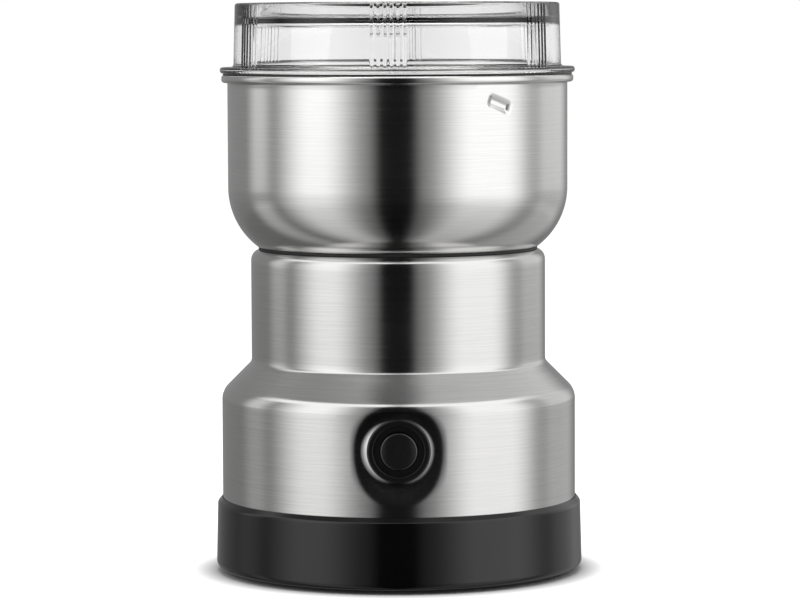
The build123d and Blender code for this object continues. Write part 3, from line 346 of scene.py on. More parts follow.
def place_group(tree, group, inputs=None):
    """Put a shader group in a material."""
    made = tree.nodes.new("ShaderNodeGroup")
    made.node_tree = group
    for label, value in (inputs or {}).items():
        if isinstance(value, bpy.types.NodeSocket):
            tree.links.new(value, made.inputs[label])
        else:
            made.inputs[label].default_value = value
    return made.outputs


def grey(level):
    """Neutral colour."""
    return (level, level, level, 1.0)


def turned_grain_group():
    """Fine scratches that run round the main axis, as a lathe or a belt leaves them."""
    group, start, end = new_group(
        "Turned grain",
        {"Lines per mm": 6.0, "Streaks per mm": 0.05},
        {"Grain": "NodeSocketFloat", "Cloud": "NodeSocketFloat"},
    )
    place = add_node(group, "ShaderNodeTexCoord").outputs["Object"]
    parts = add_node(group, "ShaderNodeSeparateXYZ", {0: place}).outputs
    across = calculate(group, "MULTIPLY", start["Lines per mm"], 1000.0)
    along = calculate(group, "MULTIPLY", start["Streaks per mm"], 1000.0)
    x = calculate(group, "MULTIPLY", parts["X"], along)
    y = calculate(group, "MULTIPLY", parts["Y"], along)
    z = calculate(group, "MULTIPLY", parts["Z"], across)
    flat = add_node(group, "ShaderNodeCombineXYZ", {0: parts["X"], 1: parts["Y"]})
    radius = add_node(
        group, "ShaderNodeVectorMath", {0: flat.outputs[0]}, operation="LENGTH"
    ).outputs["Value"]
    ring = calculate(group, "MULTIPLY", radius, across)
    spot = add_node(group, "ShaderNodeCombineXYZ", {0: x, 1: y, 2: z}).outputs[0]
    fine = add_node(
        group,
        "ShaderNodeTexNoise",
        {"Vector": spot, "W": ring, "Scale": 1.0, "Detail": 3.0, "Roughness": 0.7},
        noise_dimensions="4D",
    ).outputs[0]
    cloud = add_node(
        group,
        "ShaderNodeTexNoise",
        {"Vector": place, "Scale": 60.0, "Detail": 2.0, "Roughness": 0.5},
    ).outputs[0]
    group.links.new(fine, end["Grain"])
    group.links.new(cloud, end["Cloud"])
    return group


def moulded_skin_group():
    """Fine texture that a mould leaves on plastic or rubber, with faint handling marks."""
    group, start, end = new_group(
        "Moulded skin",
        {
            "Color": grey(0.05),
            "Lift": 0.2,
            "Grain size": 0.25,
            "Roughness": 0.4,
            "Spread": 0.08,
        },
        {"Color": "NodeSocketColor", "Roughness": "NodeSocketFloat", "Height": "NodeSocketFloat"},
    )
    place = add_node(group, "ShaderNodeTexCoord").outputs["Object"]
    scale = calculate(group, "DIVIDE", 1000.0, start["Grain size"])
    skin = add_node(
        group, "ShaderNodeTexNoise", {"Vector": place, "Scale": scale, "Detail": 2.0}
    ).outputs[0]
    marks = add_node(
        group, "ShaderNodeTexNoise", {"Vector": place, "Scale": 45.0, "Detail": 4.0}
    ).outputs[0]
    tint = remap(group, marks, 0.3, 0.7, 1.0, calculate(group, "ADD", start["Lift"], 1.0))
    color = add_node(
        group, "ShaderNodeVectorMath", {0: start["Color"], "Scale": tint}, operation="SCALE"
    ).outputs[0]
    low = calculate(group, "SUBTRACT", start["Roughness"], start["Spread"])
    high = calculate(group, "ADD", start["Roughness"], start["Spread"])
    rough = remap(group, marks, 0.3, 0.7, low, high)
    group.links.new(color, end["Color"])
    group.links.new(rough, end["Roughness"])
    group.links.new(skin, end["Height"])
    return group


def new_finish(name, color=grey(0.5), roughness=0.5, metallic=0.0, ior=1.5):
    """Material with one principled shader."""
    material = bpy.data.materials.new(name)
    material.use_nodes = True
    tree = material.node_tree
    shader = tree.nodes["Principled BSDF"]
    shader.inputs["Base Color"].default_value = color
    shader.inputs["Roughness"].default_value = roughness
    shader.inputs["Metallic"].default_value = metallic
    shader.inputs["IOR"].default_value = ior
    return material, tree, shader


def add_bump(tree, shader, height, depth_mm, strength=1.0):
    """Raise the surface by a height pattern."""
    bump = add_node(
        tree, "ShaderNodeBump", {"Strength": strength, "Distance": depth_mm * MM, "Height": height}
    )
    tree.links.new(bump.outputs[0], shader.inputs["Normal"])


def brushed_steel(name, color, roughness, anisotropy, lines=6.0, streaks=0.05, depth=0.001):
    """Steel with a grain that runs round the main axis."""
    material, tree, shader = new_finish(name, color, roughness, metallic=1.0)
    grain = place_group(
        tree, turned_grain, {"Lines per mm": lines, "Streaks per mm": streaks}
    )
    dark = tuple(channel * 0.94 for channel in color[:3]) + (1.0,)
    light = tuple(min(channel * 1.05, 1.0) for channel in color[:3]) + (1.0,)
    tone = remap(tree, grain["Grain"], 0.35, 0.65, 0.0, 1.0)
    tree.links.new(mix_colors(tree, tone, dark, light), shader.inputs["Base Color"])
    rough = remap(tree, grain["Grain"], 0.3, 0.7, roughness - 0.03, roughness + 0.04)
    cloud = remap(tree, grain["Cloud"], 0.3, 0.7, -0.02, 0.02)
    tree.links.new(calculate(tree, "ADD", rough, cloud), shader.inputs["Roughness"])
    shader.inputs["Anisotropic"].default_value = anisotropy
    shader.inputs["Anisotropic Rotation"].default_value = 0.25
    around = add_node(tree, "ShaderNodeTangent", direction_type="RADIAL", axis="Z")
    tree.links.new(around.outputs[0], shader.inputs["Tangent"])
    add_bump(tree, shader, grain["Grain"], depth)
    return material


def moulded(name, color, roughness, spread=0.08, size=0.25, depth=0.006, lift=0.25, ior=1.5):
    """Moulded plastic or rubber."""
    material, tree, shader = new_finish(name, color, roughness, ior=ior)
    skin = place_group(
        tree,
        moulded_skin,
        {
            "Color": color,
            "Lift": lift,
            "Grain size": size,
            "Roughness": roughness,
            "Spread": spread,
        },
    )
    tree.links.new(skin["Color"], shader.inputs["Base Color"])
    tree.links.new(skin["Roughness"], shader.inputs["Roughness"])
    add_bump(tree, shader, skin["Height"], depth)
    return material


def plain_metal(name, color, roughness, size=0.3, depth=0.004, spread=0.08, lift=0.15):
    """Cast, plated or sintered metal with a fine even skin."""
    material = moulded(name, color, roughness, spread, size, depth, lift)
    material.node_tree.nodes["Principled BSDF"].inputs["Metallic"].default_value = 1.0
    return material


def sheet_stack(name, color, pitch):
    """Stack of thin stampings, edge on."""
    material, tree, shader = new_finish(name, color, 0.45, metallic=1.0)
    place = add_node(tree, "ShaderNodeTexCoord").outputs["Object"]
    lines = add_node(
        tree,
        "ShaderNodeTexWave",
        {"Vector": place, "Scale": 0.314 / (pitch * MM), "Distortion": 0.4, "Detail": 1.0},
        bands_direction="Z",
    ).outputs[0]
    dark = tuple(channel * 0.35 for channel in color[:3]) + (1.0,)
    tree.links.new(mix_colors(tree, lines, dark, color), shader.inputs["Base Color"])
    add_bump(tree, shader, lines, 0.05)
    return material


def enamelled_wire(name, color, pitch):
    """Copper winding, laid turn beside turn."""
    material, tree, shader = new_finish(name, color, 0.3, metallic=1.0)
    place = add_node(tree, "ShaderNodeTexCoord").outputs["Object"]
    wires = add_node(
        tree,
        "ShaderNodeTexWave",
        {"Vector": place, "Scale": 0.314 / (pitch * MM), "Distortion": 1.2, "Detail": 1.0},
        bands_direction="X",
    ).outputs[0]
    dark = tuple(channel * 0.3 for channel in color[:3]) + (1.0,)
    tree.links.new(mix_colors(tree, wires, dark, color), shader.inputs["Base Color"])
    add_bump(tree, shader, wires, 0.12)
    shader.inputs["Coat Weight"].default_value = 0.6
    shader.inputs["Coat Roughness"].default_value = 0.15
    return material


# Light lost in each millimetre of the clear plastic
LID_TINT = 0.012


def clear_plastic(name):
    """Clear moulded lid, faintly marked by handling."""
    material, tree, shader = new_finish(name, grey(0.97), 0.03, ior=1.49)
    shader.inputs["Transmission Weight"].default_value = 1.0
    place = add_node(tree, "ShaderNodeTexCoord").outputs["Object"]
    marks = add_node(
        tree, "ShaderNodeTexNoise", {"Vector": place, "Scale": 70.0, "Detail": 4.0}
    ).outputs[0]
    rough = remap(tree, marks, 0.35, 0.75, 0.01, 0.06)
    tree.links.new(rough, shader.inputs["Roughness"])
    tint = {"Color": grey(0.5), "Density": 2 * LID_TINT / MM}
    body = add_node(tree, "ShaderNodeVolumeAbsorption", tint)
    tree.links.new(body.outputs[0], tree.nodes["Material Output"].inputs["Volume"])
    return material


turned_grain = turned_grain_group()
moulded_skin = moulded_skin_group()

finishes = {
    "base_black": moulded("Satin black moulding", grey(0.0015), 0.11, 0.02, depth=0.002),
    "foot_rubber": moulded("Foot rubber", grey(0.03), 0.7, size=0.4),
    "screw_zinc": plain_metal("Zinc plate", (0.6, 0.62, 0.66, 1), 0.35),
    "bezel_black": moulded("Bezel moulding", grey(0.005), 0.14, 0.03, size=0.15, depth=0.003),
    "body_steel": brushed_steel("Brushed body steel", (0.62, 0.617, 0.612, 1), 0.15, 0.4),
    "bowl_steel": brushed_steel("Brushed bowl steel", (0.7, 0.697, 0.69, 1), 0.15, 0.4),
    "gasket_rubber": moulded("Gasket rubber", grey(0.008), 0.6),
    "nylon_grey": moulded("Grey nylon", grey(0.3), 0.45),
    "bright_steel": brushed_steel("Turned steel", (0.7, 0.7, 0.7, 1), 0.2, 0.4, lines=9.0),
    "seal_silicone": moulded("Silicone seal", grey(0.01), 0.4),
    "lid_clear": clear_plastic("Clear lid plastic"),
    "laminated_steel": sheet_stack("Stacked stampings", (0.45, 0.45, 0.46, 1), 0.5),
    "copper": enamelled_wire("Enamelled copper", (0.72, 0.33, 0.15, 1), 0.6),
    "die_cast": plain_metal("Die casting", (0.55, 0.55, 0.56, 1), 0.5, size=0.5, depth=0.02),
    "bronze": plain_metal("Sintered bronze", (0.6, 0.42, 0.2, 1), 0.4),
    "brass_contact": plain_metal("Stamped brass", (0.75, 0.6, 0.3, 1), 0.3),
    "carbon": moulded("Pressed carbon", grey(0.035), 0.55, size=0.2),
    "switch_plastic": moulded("Switch moulding", grey(0.05), 0.4),
    "fan_plastic": moulded("Fan moulding", grey(0.25), 0.45),
    "blade_steel": plain_metal("Ground blade steel", (0.68, 0.68, 0.68, 1), 0.25),
    "button_black": moulded(
        "Button moulding", grey(0.006), 0.1, 0.02, size=0.15, depth=0.002, ior=1.65
    ),
}


# ---------------------------------------------------------------- steel body


def press_flat(x, z, y):
    """How far the drum's front is pressed in at a point."""
    up = z - Z_SWITCH
    depth = Y_FLAT + x * x / (2 * FLAT_BEND) - y
    flat = 0.5 * (depth + sqrt(depth * depth + FLAT_BLEND))
    reach = hypot(x, up * (FLAT_RISE if up > 0 else FLAT_FALL))
    top = 1 - smooth_step(z, Z_DRUM + FLAT_TOP - FLAT_TOP_FADE, Z_DRUM + FLAT_TOP)
    inner = max(hypot(x - BULGE_SHIFT[0], up - BULGE_SHIFT[1]), BULGE_INSIDE)
    bulge = 0.5 * BULGE_CURVE * max(BULGE_EDGE - inner, 0.0) ** 2
    return flat * (1 - smooth_step(reach, FLAT_CORE, FLAT_EDGE)) * top - bulge


def refine(bm, centre, reach, cuts, low, high):
    """Divide the faces of an upright wall near a point."""
    near = [
        face
        for face in bm.faces
        if (face.calc_center_median() - centre).length < reach
        and min(v.co.z for v in face.verts) > low
        and max(v.co.z for v in face.verts) < high
    ]
    edges = list({edge for face in near for edge in face.edges})
    bmesh.ops.subdivide_edges(bm, edges=edges, cuts=cuts, use_grid_fill=True)


def to_radius(bm, radius, low, high, slack=0.05):
    """Put the points of an upright wall back on its true radius."""
    for vert in bm.verts:
        reach = hypot(vert.co.x, vert.co.y)
        if low < vert.co.z < high and abs(reach - radius) < slack:
            vert.co.x *= radius / reach
            vert.co.y *= radius / reach


def make_body_shell():
    """Drum, cone and neck in one drawn sheet, with the switch's flat and hole."""
    bm = section(
        [
            (DRUM_RADIUS, Z_SEAT, 0),
            (DRUM_RADIUS, Z_DRUM, DRUM_ROUND),
            (NECK_RADIUS, Z_NECK, NECK_FOOT_ROUND),
            (NECK_RADIUS, Z_CREST, NECK_ROUND),
            (NECK_RADIUS - NECK_ROUND - 1, Z_CREST, 0),
        ],
        closed=False,
    )
    bmesh.ops.bisect_plane(
        bm,
        geom=bm.verts[:] + bm.edges[:],
        plane_co=(MOUTH_RADIUS, 0, 0),
        plane_no=(1, 0, 0),
        clear_inner=True,
    )
    divide_long_edges(bm, WALL_SPACING)
    turn_section(bm, SHEET_STEPS)
    front = Vector((0, -DRUM_RADIUS, Z_SWITCH))
    wall_top = Z_DRUM - 2.0
    refine(bm, front, FLAT_FINE_REACH, 3, Z_SEAT, wall_top)
    to_radius(bm, DRUM_RADIUS, Z_SEAT, wall_top)
    for vert in bm.verts:
        if vert.co.y < 0 and hypot(vert.co.x, vert.co.z - Z_SWITCH) < FLAT_REACH:
            vert.co.y += press_flat(vert.co.x, vert.co.z, vert.co.y)
    cut_switch_hole(bm)
    shell = finish_piece(bm, "drawn_body", "housing", "body_shell", "body_steel", 60)
    sheet = shell.modifiers.new("Sheet", "SOLIDIFY")
    sheet.thickness = STEEL * MM
    sheet.offset = -1.0
    return shell


def cut_switch_hole(bm):
    """Round hole for the switch's barrel."""
    inside = [
        face
        for face in bm.faces
        if face.calc_center_median().y < 0
        and max(hypot(v.co.x, v.co.z - Z_SWITCH) for v in face.verts) < BARREL_HOLE + 0.3
    ]
    bmesh.ops.delete(bm, geom=inside, context="FACES")
    for vert in bm.verts:
        reach = hypot(vert.co.x, vert.co.z - Z_SWITCH)
        if vert.is_boundary and vert.co.y < 0 and reach < BARREL_HOLE + 1:
            vert.co.x *= BARREL_HOLE / reach
            vert.co.z = Z_SWITCH + (vert.co.z - Z_SWITCH) * BARREL_HOLE / reach


# ---------------------------------------------------------------- bowl


def press_dent(angle, turn, z):
    """How far the bowl's wall is pressed in at a point."""
    along = radians((turn - angle + 180) % 360 - 180) * BOWL_RADIUS
    up = z - Z_DENT
    tilt = radians(DENT_TILT)
    u = abs(along * cos(tilt) + up * sin(tilt))
    v = abs(up * cos(tilt) - along * sin(tilt))
    away = hypot(max(u - DENT_HALF_LENGTH, 0.0), max(v - DENT_HALF_WIDTH, 0.0))
    return DENT_DEPTH * max(1 - away / DENT_SLOPE, 0.0) ** DENT_CURVE


def make_bowl():
    """Deep drawn bowl with a rolled rim and two locking dents."""
    bm = section(
        [
            (BUSH_HOLE, Z_BOWL, 0),
            (BOWL_RADIUS, Z_BOWL, BOWL_CORNER),
            (BOWL_RADIUS, Z_RIM, 0.3),
            (RIM_RADIUS, Z_RIM, RIM_ROUND),
            (RIM_RADIUS, Z_RIM_TOP, RIM_ROUND),
            (BOWL_INNER, Z_RIM_TOP, 0.6),
            (BOWL_INNER, Z_BOWL + STEEL, BOWL_CORNER - STEEL),
            (BUSH_HOLE, Z_BOWL + STEEL, 0),
        ]
    )
    divide_long_edges(bm, WALL_SPACING)
    turn_section(bm, SHEET_STEPS)
    wall_foot = Z_BOWL + BOWL_CORNER
    wall_top = Z_RIM - 0.2
    for angle in DENT_ANGLES:
        place = Matrix.Rotation(radians(angle), 3, "Z") @ Vector((BOWL_RADIUS, 0, Z_DENT))
        refine(bm, place, DENT_REACH, 5, wall_foot, wall_top)
    to_radius(bm, BOWL_RADIUS, wall_foot, wall_top)
    to_radius(bm, BOWL_INNER, wall_foot, Z_RIM)
    for vert in bm.verts:
        reach = hypot(vert.co.x, vert.co.y)
        if BOWL_INNER - 0.1 < reach < BOWL_RADIUS + 0.1 and vert.co.z < wall_top:
            turn = degrees(atan2(vert.co.y, vert.co.x))
            depth = sum(press_dent(angle, turn, vert.co.z) for angle in DENT_ANGLES)
            vert.co.x *= 1 - depth / reach
            vert.co.y *= 1 - depth / reach
    return finish_piece(bm, "drawn_bowl", "housing", "bowl", "bowl_steel", 60)


# ---------------------------------------------------------------- lid


def turn_lid(bm):
    """Spin the lid's section, with fine columns where the ribs are and at the tracks' ends."""
    edge = TRACK_EDGE_ANGLE
    first = RIB_GROUP_ANGLE - RIB_GROUP_WIDTH / 2
    track = DENT_ANGLES[0] - TRACK_HALF_ANGLE - edge / 2
    plain = track - first - RIB_GROUP_WIDTH
    entry = 2 * TRACK_HALF_ANGLE
    rest = 360 / RIB_GROUPS - RIB_GROUP_WIDTH - plain - entry - 2 * edge
    sectors = ((RIB_GROUP_WIDTH, 78), (plain, 14), (edge, 1), (entry, 10), (edge, 1), (rest, 6))
    bmesh.ops.rotate(
        bm, verts=bm.verts[:], cent=(0, 0, 0), matrix=Matrix.Rotation(radians(first), 3, "Z")
    )
    ring = bm.verts[:] + bm.edges[:]
    for _ in range(RIB_GROUPS):
        for width, steps in sectors:
            made = bmesh.ops.spin(
                bm,
                geom=ring,
                cent=(0, 0, 0),
                axis=(0, 0, 1),
                angle=radians(width),
                steps=steps,
            )
            ring = made["geom_last"]
    tidy_faces(bm)


def rib_lift(turn):
    """How far a rib stands off the grip at an angle."""
    pitch = 360 / RIB_GROUPS
    offset = (turn - RIB_GROUP_ANGLE + pitch / 2) % pitch - pitch / 2
    last = (RIBS_PER_GROUP - 1) / 2
    nearest = min(max(round(offset / RIB_PITCH - last) + last, -last), last)
    away = radians(abs(offset - nearest * RIB_PITCH)) * GRIP_RADIUS
    return max(sqrt(max(RIB_RADIUS**2 - away**2, 0.0)) - RIB_SUNK, 0.0)


def in_track(turn, z):
    """Whether a point of the skirt lies in a locking track."""
    offset = (turn - DENT_ANGLES[0] + 90) % 180 - 90
    top = Z_TRACK_TOP + SLACK
    entry = abs(offset) < TRACK_HALF_ANGLE + SLACK and z < top
    lock = abs(offset - LOCK_TURN / 2) < TRACK_HALF_ANGLE + LOCK_TURN / 2 + SLACK
    return entry or (lock and Z_TRACK_LOW - SLACK < z < top)


def make_lid():
    """Clear lid: skirt with locking tracks, flange, ribbed grip and sunk panel."""
    panel_radius = GRIP_RADIUS - GRIP_WALL - GRIP_DRAFT
    bm = section(
        [
            (SKIRT_INNER, Z_SKIRT, 0.3),
            (SKIRT_OUTER, Z_SKIRT, 0),
            (SKIRT_OUTER, Z_TRACK_LOW - TRACK_EDGE, 0),
            (SKIRT_OUTER, Z_TRACK_LOW, 0),
            (SKIRT_OUTER, Z_TRACK_TOP, 0),
            (SKIRT_OUTER, Z_TRACK_TOP + TRACK_EDGE, 0),
            (SKIRT_OUTER, Z_FLANGE, 0),
            (FLANGE_RADIUS, Z_FLANGE, FLANGE_ROUND),
            (FLANGE_RADIUS, Z_GRIP, FLANGE_ROUND),
            (GRIP_RADIUS, Z_GRIP, GRIP_FOOT_ROUND),
            (GRIP_RADIUS - GRIP_DRAFT, Z_LID_TOP, LID_TOP_ROUND),
            (panel_radius, Z_LID_TOP, LID_RIM_ROUND),
            (panel_radius, Z_PANEL, 0.5),
            (CROWN_FOOT_RADIUS, Z_PANEL, CROWN_ROUND),
            (CROWN_RADIUS, Z_CROWN, CROWN_ROUND),
            (0, Z_CROWN, 0),
            (0, Z_CROWN - PANEL_T, 0),
            (CROWN_RADIUS, Z_CROWN - PANEL_T, CROWN_ROUND),
            (CROWN_FOOT_RADIUS, Z_PANEL - PANEL_T, CROWN_ROUND),
            (panel_radius, Z_PANEL - PANEL_T, 0.6),
            (panel_radius + GRIP_DRAFT, Z_GRIP, 0),
            (SKIRT_INNER, Z_FLANGE, 0),
        ]
    )
    turn_lid(bm)
    for vert in bm.verts:
        turn = degrees(atan2(vert.co.y, vert.co.x))
        reach = hypot(vert.co.x, vert.co.y)
        target = reach
        if Z_GRIP - 0.01 < vert.co.z < Z_LID_TOP - LID_TOP_ROUND + 0.1:
            face = GRIP_RADIUS - GRIP_DRAFT * (vert.co.z - Z_GRIP) / (Z_LID_TOP - Z_GRIP)
            lift = rib_lift(turn)
            if lift and face - 0.05 < reach < face + lift:
                target = face + lift
        if reach > TRACK_FLOOR and vert.co.z < Z_FLANGE - 0.1 and in_track(turn, vert.co.z):
            target = TRACK_FLOOR
        if target != reach:
            vert.co.x *= target / reach
            vert.co.y *= target / reach
    return finish_piece(bm, "clear_lid", "lid", "lid", "lid_clear", 30)


# ---------------------------------------------------------------- switch


def make_bezel():
    """Flange with a step around the button, and the barrel behind it."""
    step = FLANGE_FRONT - FLANGE_STEP
    bm = section(
        [
            (BARREL_BORE, step, 0.15),
            (BEZEL_STEP_RADIUS, step, 0),
            (BEZEL_STEP_RADIUS, FLANGE_FRONT, 0.2),
            (BEZEL_RADIUS, FLANGE_FRONT, 0.55),
            (BEZEL_RADIUS, FLANGE_BACK, 0),
            (BARREL_RADIUS, FLANGE_BACK, 0),
            (BARREL_RADIUS, BARREL_END, 0.2),
            (REAR_BORE, BARREL_END, 0),
            (REAR_BORE, BARREL_STEP, 0),
            (BARREL_BORE, BARREL_STEP, 0),
        ]
    )
    turn_section(bm, SWITCH_STEPS)
    face_front(bm)
    return finish_piece(bm, "bezel_ring", "housing", "switch_bezel", "bezel_black")


def make_button():
    """Push button with a slightly domed cap."""
    bm = section(
        [
            (0, CAP_FRONT, 0),
            (CAP_RADIUS / 2, CAP_FRONT - CAP_DOME * 0.25, 1.0),
            (CAP_RADIUS, CAP_FRONT - CAP_DOME, 0.5),
            (CAP_RADIUS, COLLAR_FRONT, 0),
            (COLLAR_RADIUS, COLLAR_FRONT, 0),
            (COLLAR_RADIUS, COLLAR_BACK, 0.2),
            (STEM_RADIUS, COLLAR_BACK, 0),
            (STEM_RADIUS, STEM_END, 0.2),
            (0, STEM_END, 0),
        ]
    )
    turn_section(bm, SWITCH_STEPS)
    face_front(bm)
    return finish_piece(bm, "button_cap", "push_button", "button", "button_black")


def make_spring():
    """Coil behind the button, drawn at its rest length; the real coil shortens as the button goes
    in.
    """
    front, back = (corner.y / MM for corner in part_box("switch_spring"))
    rise = back - front - 2 * SPRING_WIRE
    start = Matrix.Translation((SPRING_RADIUS, 0, SPRING_WIRE - back))
    bm = bmesh.new()
    bmesh.ops.create_circle(
        bm, radius=SPRING_WIRE, segments=12, matrix=start @ Matrix.Rotation(pi / 2, 4, "X")
    )
    steps = 40 * SPRING_TURNS
    bmesh.ops.spin(
        bm,
        geom=bm.verts[:] + bm.edges[:],
        cent=(0, 0, 0),
        axis=(0, 0, 1),
        dvec=(0, 0, rise / steps),
        angle=tau * SPRING_TURNS,
        steps=steps,
    )
    bmesh.ops.holes_fill(bm, edges=[edge for edge in bm.edges if edge.is_boundary])
    tidy_faces(bm)
    face_front(bm)
    spring = finish_piece(bm, "button_spring", "housing", "switch_spring", "bright_steel")
    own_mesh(spring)


# ---------------------------------------------------------------- studio

CAMERA_HEIGHT = 0.1531
CAMERA_DISTANCE = 1.0213
CAMERA_PITCH = 4.28
CAMERA_ROLL = -0.24
LENS = 162.0

# Painted shadow round the base: where the table's emission begins beside the base, and where it is
# full, in millimetres; nearer the base the table gets no emission, which paints it darker
PAINTED_SHADOW_EDGE = 51.5
GLOW_FULL = 60.0

# Brightness of the plain studio walls, at the bowl's height and low down
WALL = 0.15
WALL_LOW = 0.13

# Black flag behind the camera: degrees to its middle, to its solid edge and to its end, and
# the share of the light that it leaves
FLAG_MIDDLE = -1.0
FLAG_SOLID = 9.0
FLAG_END = 20.0
FLAG_LEFT = 0.03

# Strip light overhead, as a share of the way up, and its brightness
STRIP_LOW = 0.53
STRIP_HIGH = 0.75
STRIP_EDGE = 0.04
STRIP = 0.75


def studio_camera():
    """Long lens, a little above the grinder."""
    data = bpy.data.cameras.new("Camera")
    data.lens = LENS
    data.sensor_width = 36.0
    camera = bpy.data.objects.new("Camera", data)
    camera.location = (0.0005, -CAMERA_DISTANCE, CAMERA_HEIGHT)
    tilt = Quaternion((1, 0, 0), radians(90 - CAMERA_PITCH))
    roll = Quaternion((0, 0, 1), radians(CAMERA_ROLL))
    camera.rotation_mode = "QUATERNION"
    camera.rotation_quaternion = tilt @ roll
    scene.collection.objects.link(camera)
    scene.camera = camera


def ramp(tree, value, stops):
    """Grey ramp between (value, level) stops."""
    first = stops[0][0]
    last = stops[-1][0]
    share = remap(tree, value, first, last, 0.0, 1.0)
    made = add_node(tree, "ShaderNodeValToRGB", {"Fac": share})
    elements = made.color_ramp.elements
    elements[0].color = grey(stops[0][1])
    elements[1].color = grey(stops[-1][1])
    for place, level in stops[1:-1]:
        elements.new((place - first) / (last - first)).color = grey(level)
    return made.outputs[0]


def distance(tree, value, middle):
    """How far a value is from a middle, either way."""
    return calculate(tree, "ABSOLUTE", calculate(tree, "SUBTRACT", value, middle))


def soft_box(tree, turn, bowl_height, middle, half_width, edge, bright, low):
    """Brightness that a soft box adds, at the bowl's height and low down."""
    away = distance(tree, turn, middle)
    away = calculate(tree, "MINIMUM", away, calculate(tree, "SUBTRACT", 360.0, away))
    inner = half_width - edge / 2
    spread = remap(tree, away, inner, inner + edge, 1.0, 0.0, "SMOOTHSTEP")
    level = remap(tree, bowl_height, 0.0, 1.0, low, bright)
    return calculate(tree, "MULTIPLY", spread, level)


def studio_sides(tree, turn, height):
    """Walls with soft boxes, by the degrees from the front and from level."""
    bowl_height = ramp(tree, height, [(-16, 1.0), (-10, 0.0), (-4.2, 0.0), (-1.5, 1.0)])
    level = remap(tree, bowl_height, 0.0, 1.0, WALL_LOW, WALL)
    boxes = (
        dict(middle=-57, half_width=22, edge=36, bright=0.6, low=0.45),
        dict(middle=64, half_width=30, edge=36, bright=0.58, low=0.55),
        dict(middle=-107, half_width=10, edge=16, bright=0.26, low=0.08),
        dict(middle=130, half_width=22, edge=24, bright=0.27, low=0.16),
    )
    for box in boxes:
        level = calculate(tree, "ADD", level, soft_box(tree, turn, bowl_height, **box))
    away = distance(tree, turn, FLAG_MIDDLE)
    flag = remap(tree, away, FLAG_SOLID, FLAG_END, FLAG_LEFT, 1.0, "SMOOTHSTEP")
    fall = ramp(tree, height, [(-90, 0.25), (-20, 0.6), (-6, 1.0)])
    return calculate(tree, "MULTIPLY", calculate(tree, "MULTIPLY", level, flag), fall)


def studio_ceiling(tree, across):
    """Grey ceiling, lighter to the right, with a dark gap over the front."""
    level = remap(tree, across, -0.5, 0.5, 0.18, 0.36)
    gap = remap(tree, distance(tree, across, -0.02), 0.06, 0.26, 0.3, 1.0, "SMOOTHSTEP")
    return calculate(tree, "MULTIPLY", level, gap)


def studio_strip(tree, turn, up):
    """Mask of the strip light that runs round overhead, open at the back."""
    middle = (STRIP_LOW + STRIP_HIGH) / 2
    end = (STRIP_HIGH - STRIP_LOW) / 2
    strip = remap(tree, distance(tree, up, middle), end - STRIP_EDGE, end, 1.0, 0.0)
    span = ramp(tree, distance(tree, turn, 0.0), [(0, 0.45), (11, 1.0), (94, 1.0), (126, 0.0)])
    return calculate(tree, "MULTIPLY", strip, span)


def studio_world():
    """White surroundings, with soft boxes and flags that only reflections see."""
    world = bpy.data.worlds.new("Studio")
    scene.world = world
    world.use_nodes = True
    tree = world.node_tree
    tree.nodes.clear()
    place = add_node(tree, "ShaderNodeTexCoord").outputs["Generated"]
    parts = add_node(tree, "ShaderNodeSeparateXYZ", {0: place}).outputs
    forward = calculate(tree, "MULTIPLY", parts["Y"], -1.0)
    turn = calculate(tree, "DEGREES", calculate(tree, "ARCTAN2", parts["X"], forward))
    height = calculate(tree, "DEGREES", calculate(tree, "ARCSINE", parts["Z"]))
    up = calculate(tree, "MULTIPLY_ADD", parts["Y"], 0.18, parts["Z"])
    sides = studio_sides(tree, turn, height)
    overhead = remap(tree, up, 0.55, 0.8, 0.0, 1.0)
    seen = mix_colors(tree, overhead, sides, studio_ceiling(tree, parts["X"]))
    seen = mix_colors(tree, studio_strip(tree, turn, up), seen, grey(STRIP))
    rays = add_node(tree, "ShaderNodeLightPath").outputs
    plain = add_node(tree, "ShaderNodeBackground", {"Color": grey(0.8), "Strength": 0.62})
    boxes = add_node(tree, "ShaderNodeBackground", {"Color": seen, "Strength": 2.0})
    white = add_node(tree, "ShaderNodeBackground", {"Color": grey(1.0), "Strength": 1.0})
    shiny = calculate(tree, "MAXIMUM", rays["Is Glossy Ray"], rays["Is Transmission Ray"])
    inner = add_node(
        tree,
        "ShaderNodeMixShader",
        {0: shiny, 1: plain.outputs[0], 2: boxes.outputs[0]},
    )
    backdrop = remap(tree, parts["Y"], -0.1, 0.2, 0.0, 1.2)
    backdrop = calculate(tree, "MULTIPLY", backdrop, remap(tree, parts["Z"], -0.35, -0.2, 0.0, 1.0))
    through = calculate(tree, "MULTIPLY", rays["Is Transmission Ray"], backdrop)
    clear = calculate(tree, "MAXIMUM", rays["Is Camera Ray"], through)
    outer = add_node(
        tree, "ShaderNodeMixShader", {0: clear, 1: inner.outputs[0], 2: white.outputs[0]}
    )
    end = tree.nodes.new("ShaderNodeOutputWorld")
    tree.links.new(outer.outputs[0], end.inputs[0])


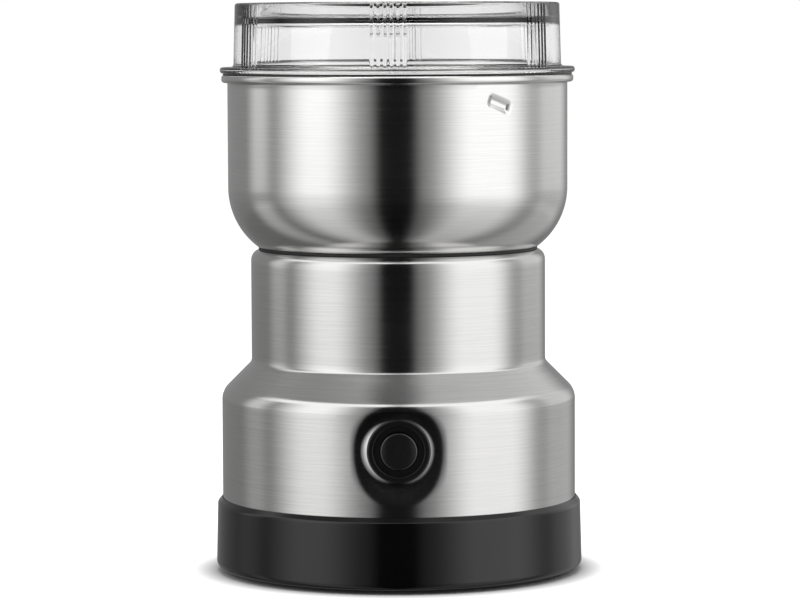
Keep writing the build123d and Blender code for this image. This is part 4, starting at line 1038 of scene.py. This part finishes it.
def studio_floor():
    """White table that keeps the grinder's soft shadow from the lamps and fades into the
    background; close round the base its emission is left out, which paints a shadow.
    """
    bm = bmesh.new()
    bmesh.ops.create_grid(bm, x_segments=1, y_segments=1, size=4.0)
    mesh = bpy.data.meshes.new("table")
    bm.to_mesh(mesh)
    bm.free()
    table = bpy.data.objects.new("table", mesh)
    scene.collection.objects.link(table)
    table.visible_glossy = False
    table.visible_transmission = False
    material = bpy.data.materials.new("White table")
    material.use_nodes = True
    tree = material.node_tree
    shader = tree.nodes["Principled BSDF"]
    shader.inputs["Base Color"].default_value = grey(0.5)
    shader.inputs["Roughness"].default_value = 0.9
    shader.inputs["Specular IOR Level"].default_value = 0.0
    place = add_node(tree, "ShaderNodeTexCoord").outputs["Object"]
    reach = add_node(tree, "ShaderNodeVectorMath", {0: place}, operation="LENGTH").outputs["Value"]
    # Painted shadow: no emission within a ring round the base, so the table is darker there
    glow_outside_painted_shadow = remap(tree, reach, PAINTED_SHADOW_EDGE * MM, GLOW_FULL * MM, 0.0, 1.0)
    tree.links.new(mix_colors(tree, glow_outside_painted_shadow, grey(0.0), grey(1.0)), shader.inputs["Emission Color"])
    shader.inputs["Emission Strength"].default_value = 0.8
    mesh.materials.append(material)


def soft_lamp(name, place, size, power):
    """Area lamp aimed at the middle of the grinder, kept out of the reflections."""
    data = bpy.data.lights.new(name, "AREA")
    data.shape = "RECTANGLE"
    data.size, data.size_y = size
    data.energy = power
    lamp = bpy.data.objects.new(name, data)
    lamp.location = place
    aim = Vector((0, 0, 0.08)) - Vector(place)
    lamp.rotation_mode = "QUATERNION"
    lamp.rotation_quaternion = aim.to_track_quat("-Z", "Y")
    lamp.visible_glossy = False
    scene.collection.objects.link(lamp)


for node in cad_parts.values():
    holder = node.material_slots[0]
    holder.material = finishes[holder.material.name]

make_body_shell()
make_bowl()
make_lid()
make_bezel()
make_button()
make_spring()

studio_camera()
studio_world()
studio_floor()
soft_lamp("Overhead", (0, -0.2, 1.2), (1.2, 1.0), 9.0)
soft_lamp("Left", (-1.1, -0.5, 0.7), (0.8, 1.0), 5.0)
soft_lamp("Right", (1.1, -0.4, 0.7), (0.8, 1.0), 5.0)

scene.view_settings.view_transform = "Standard"
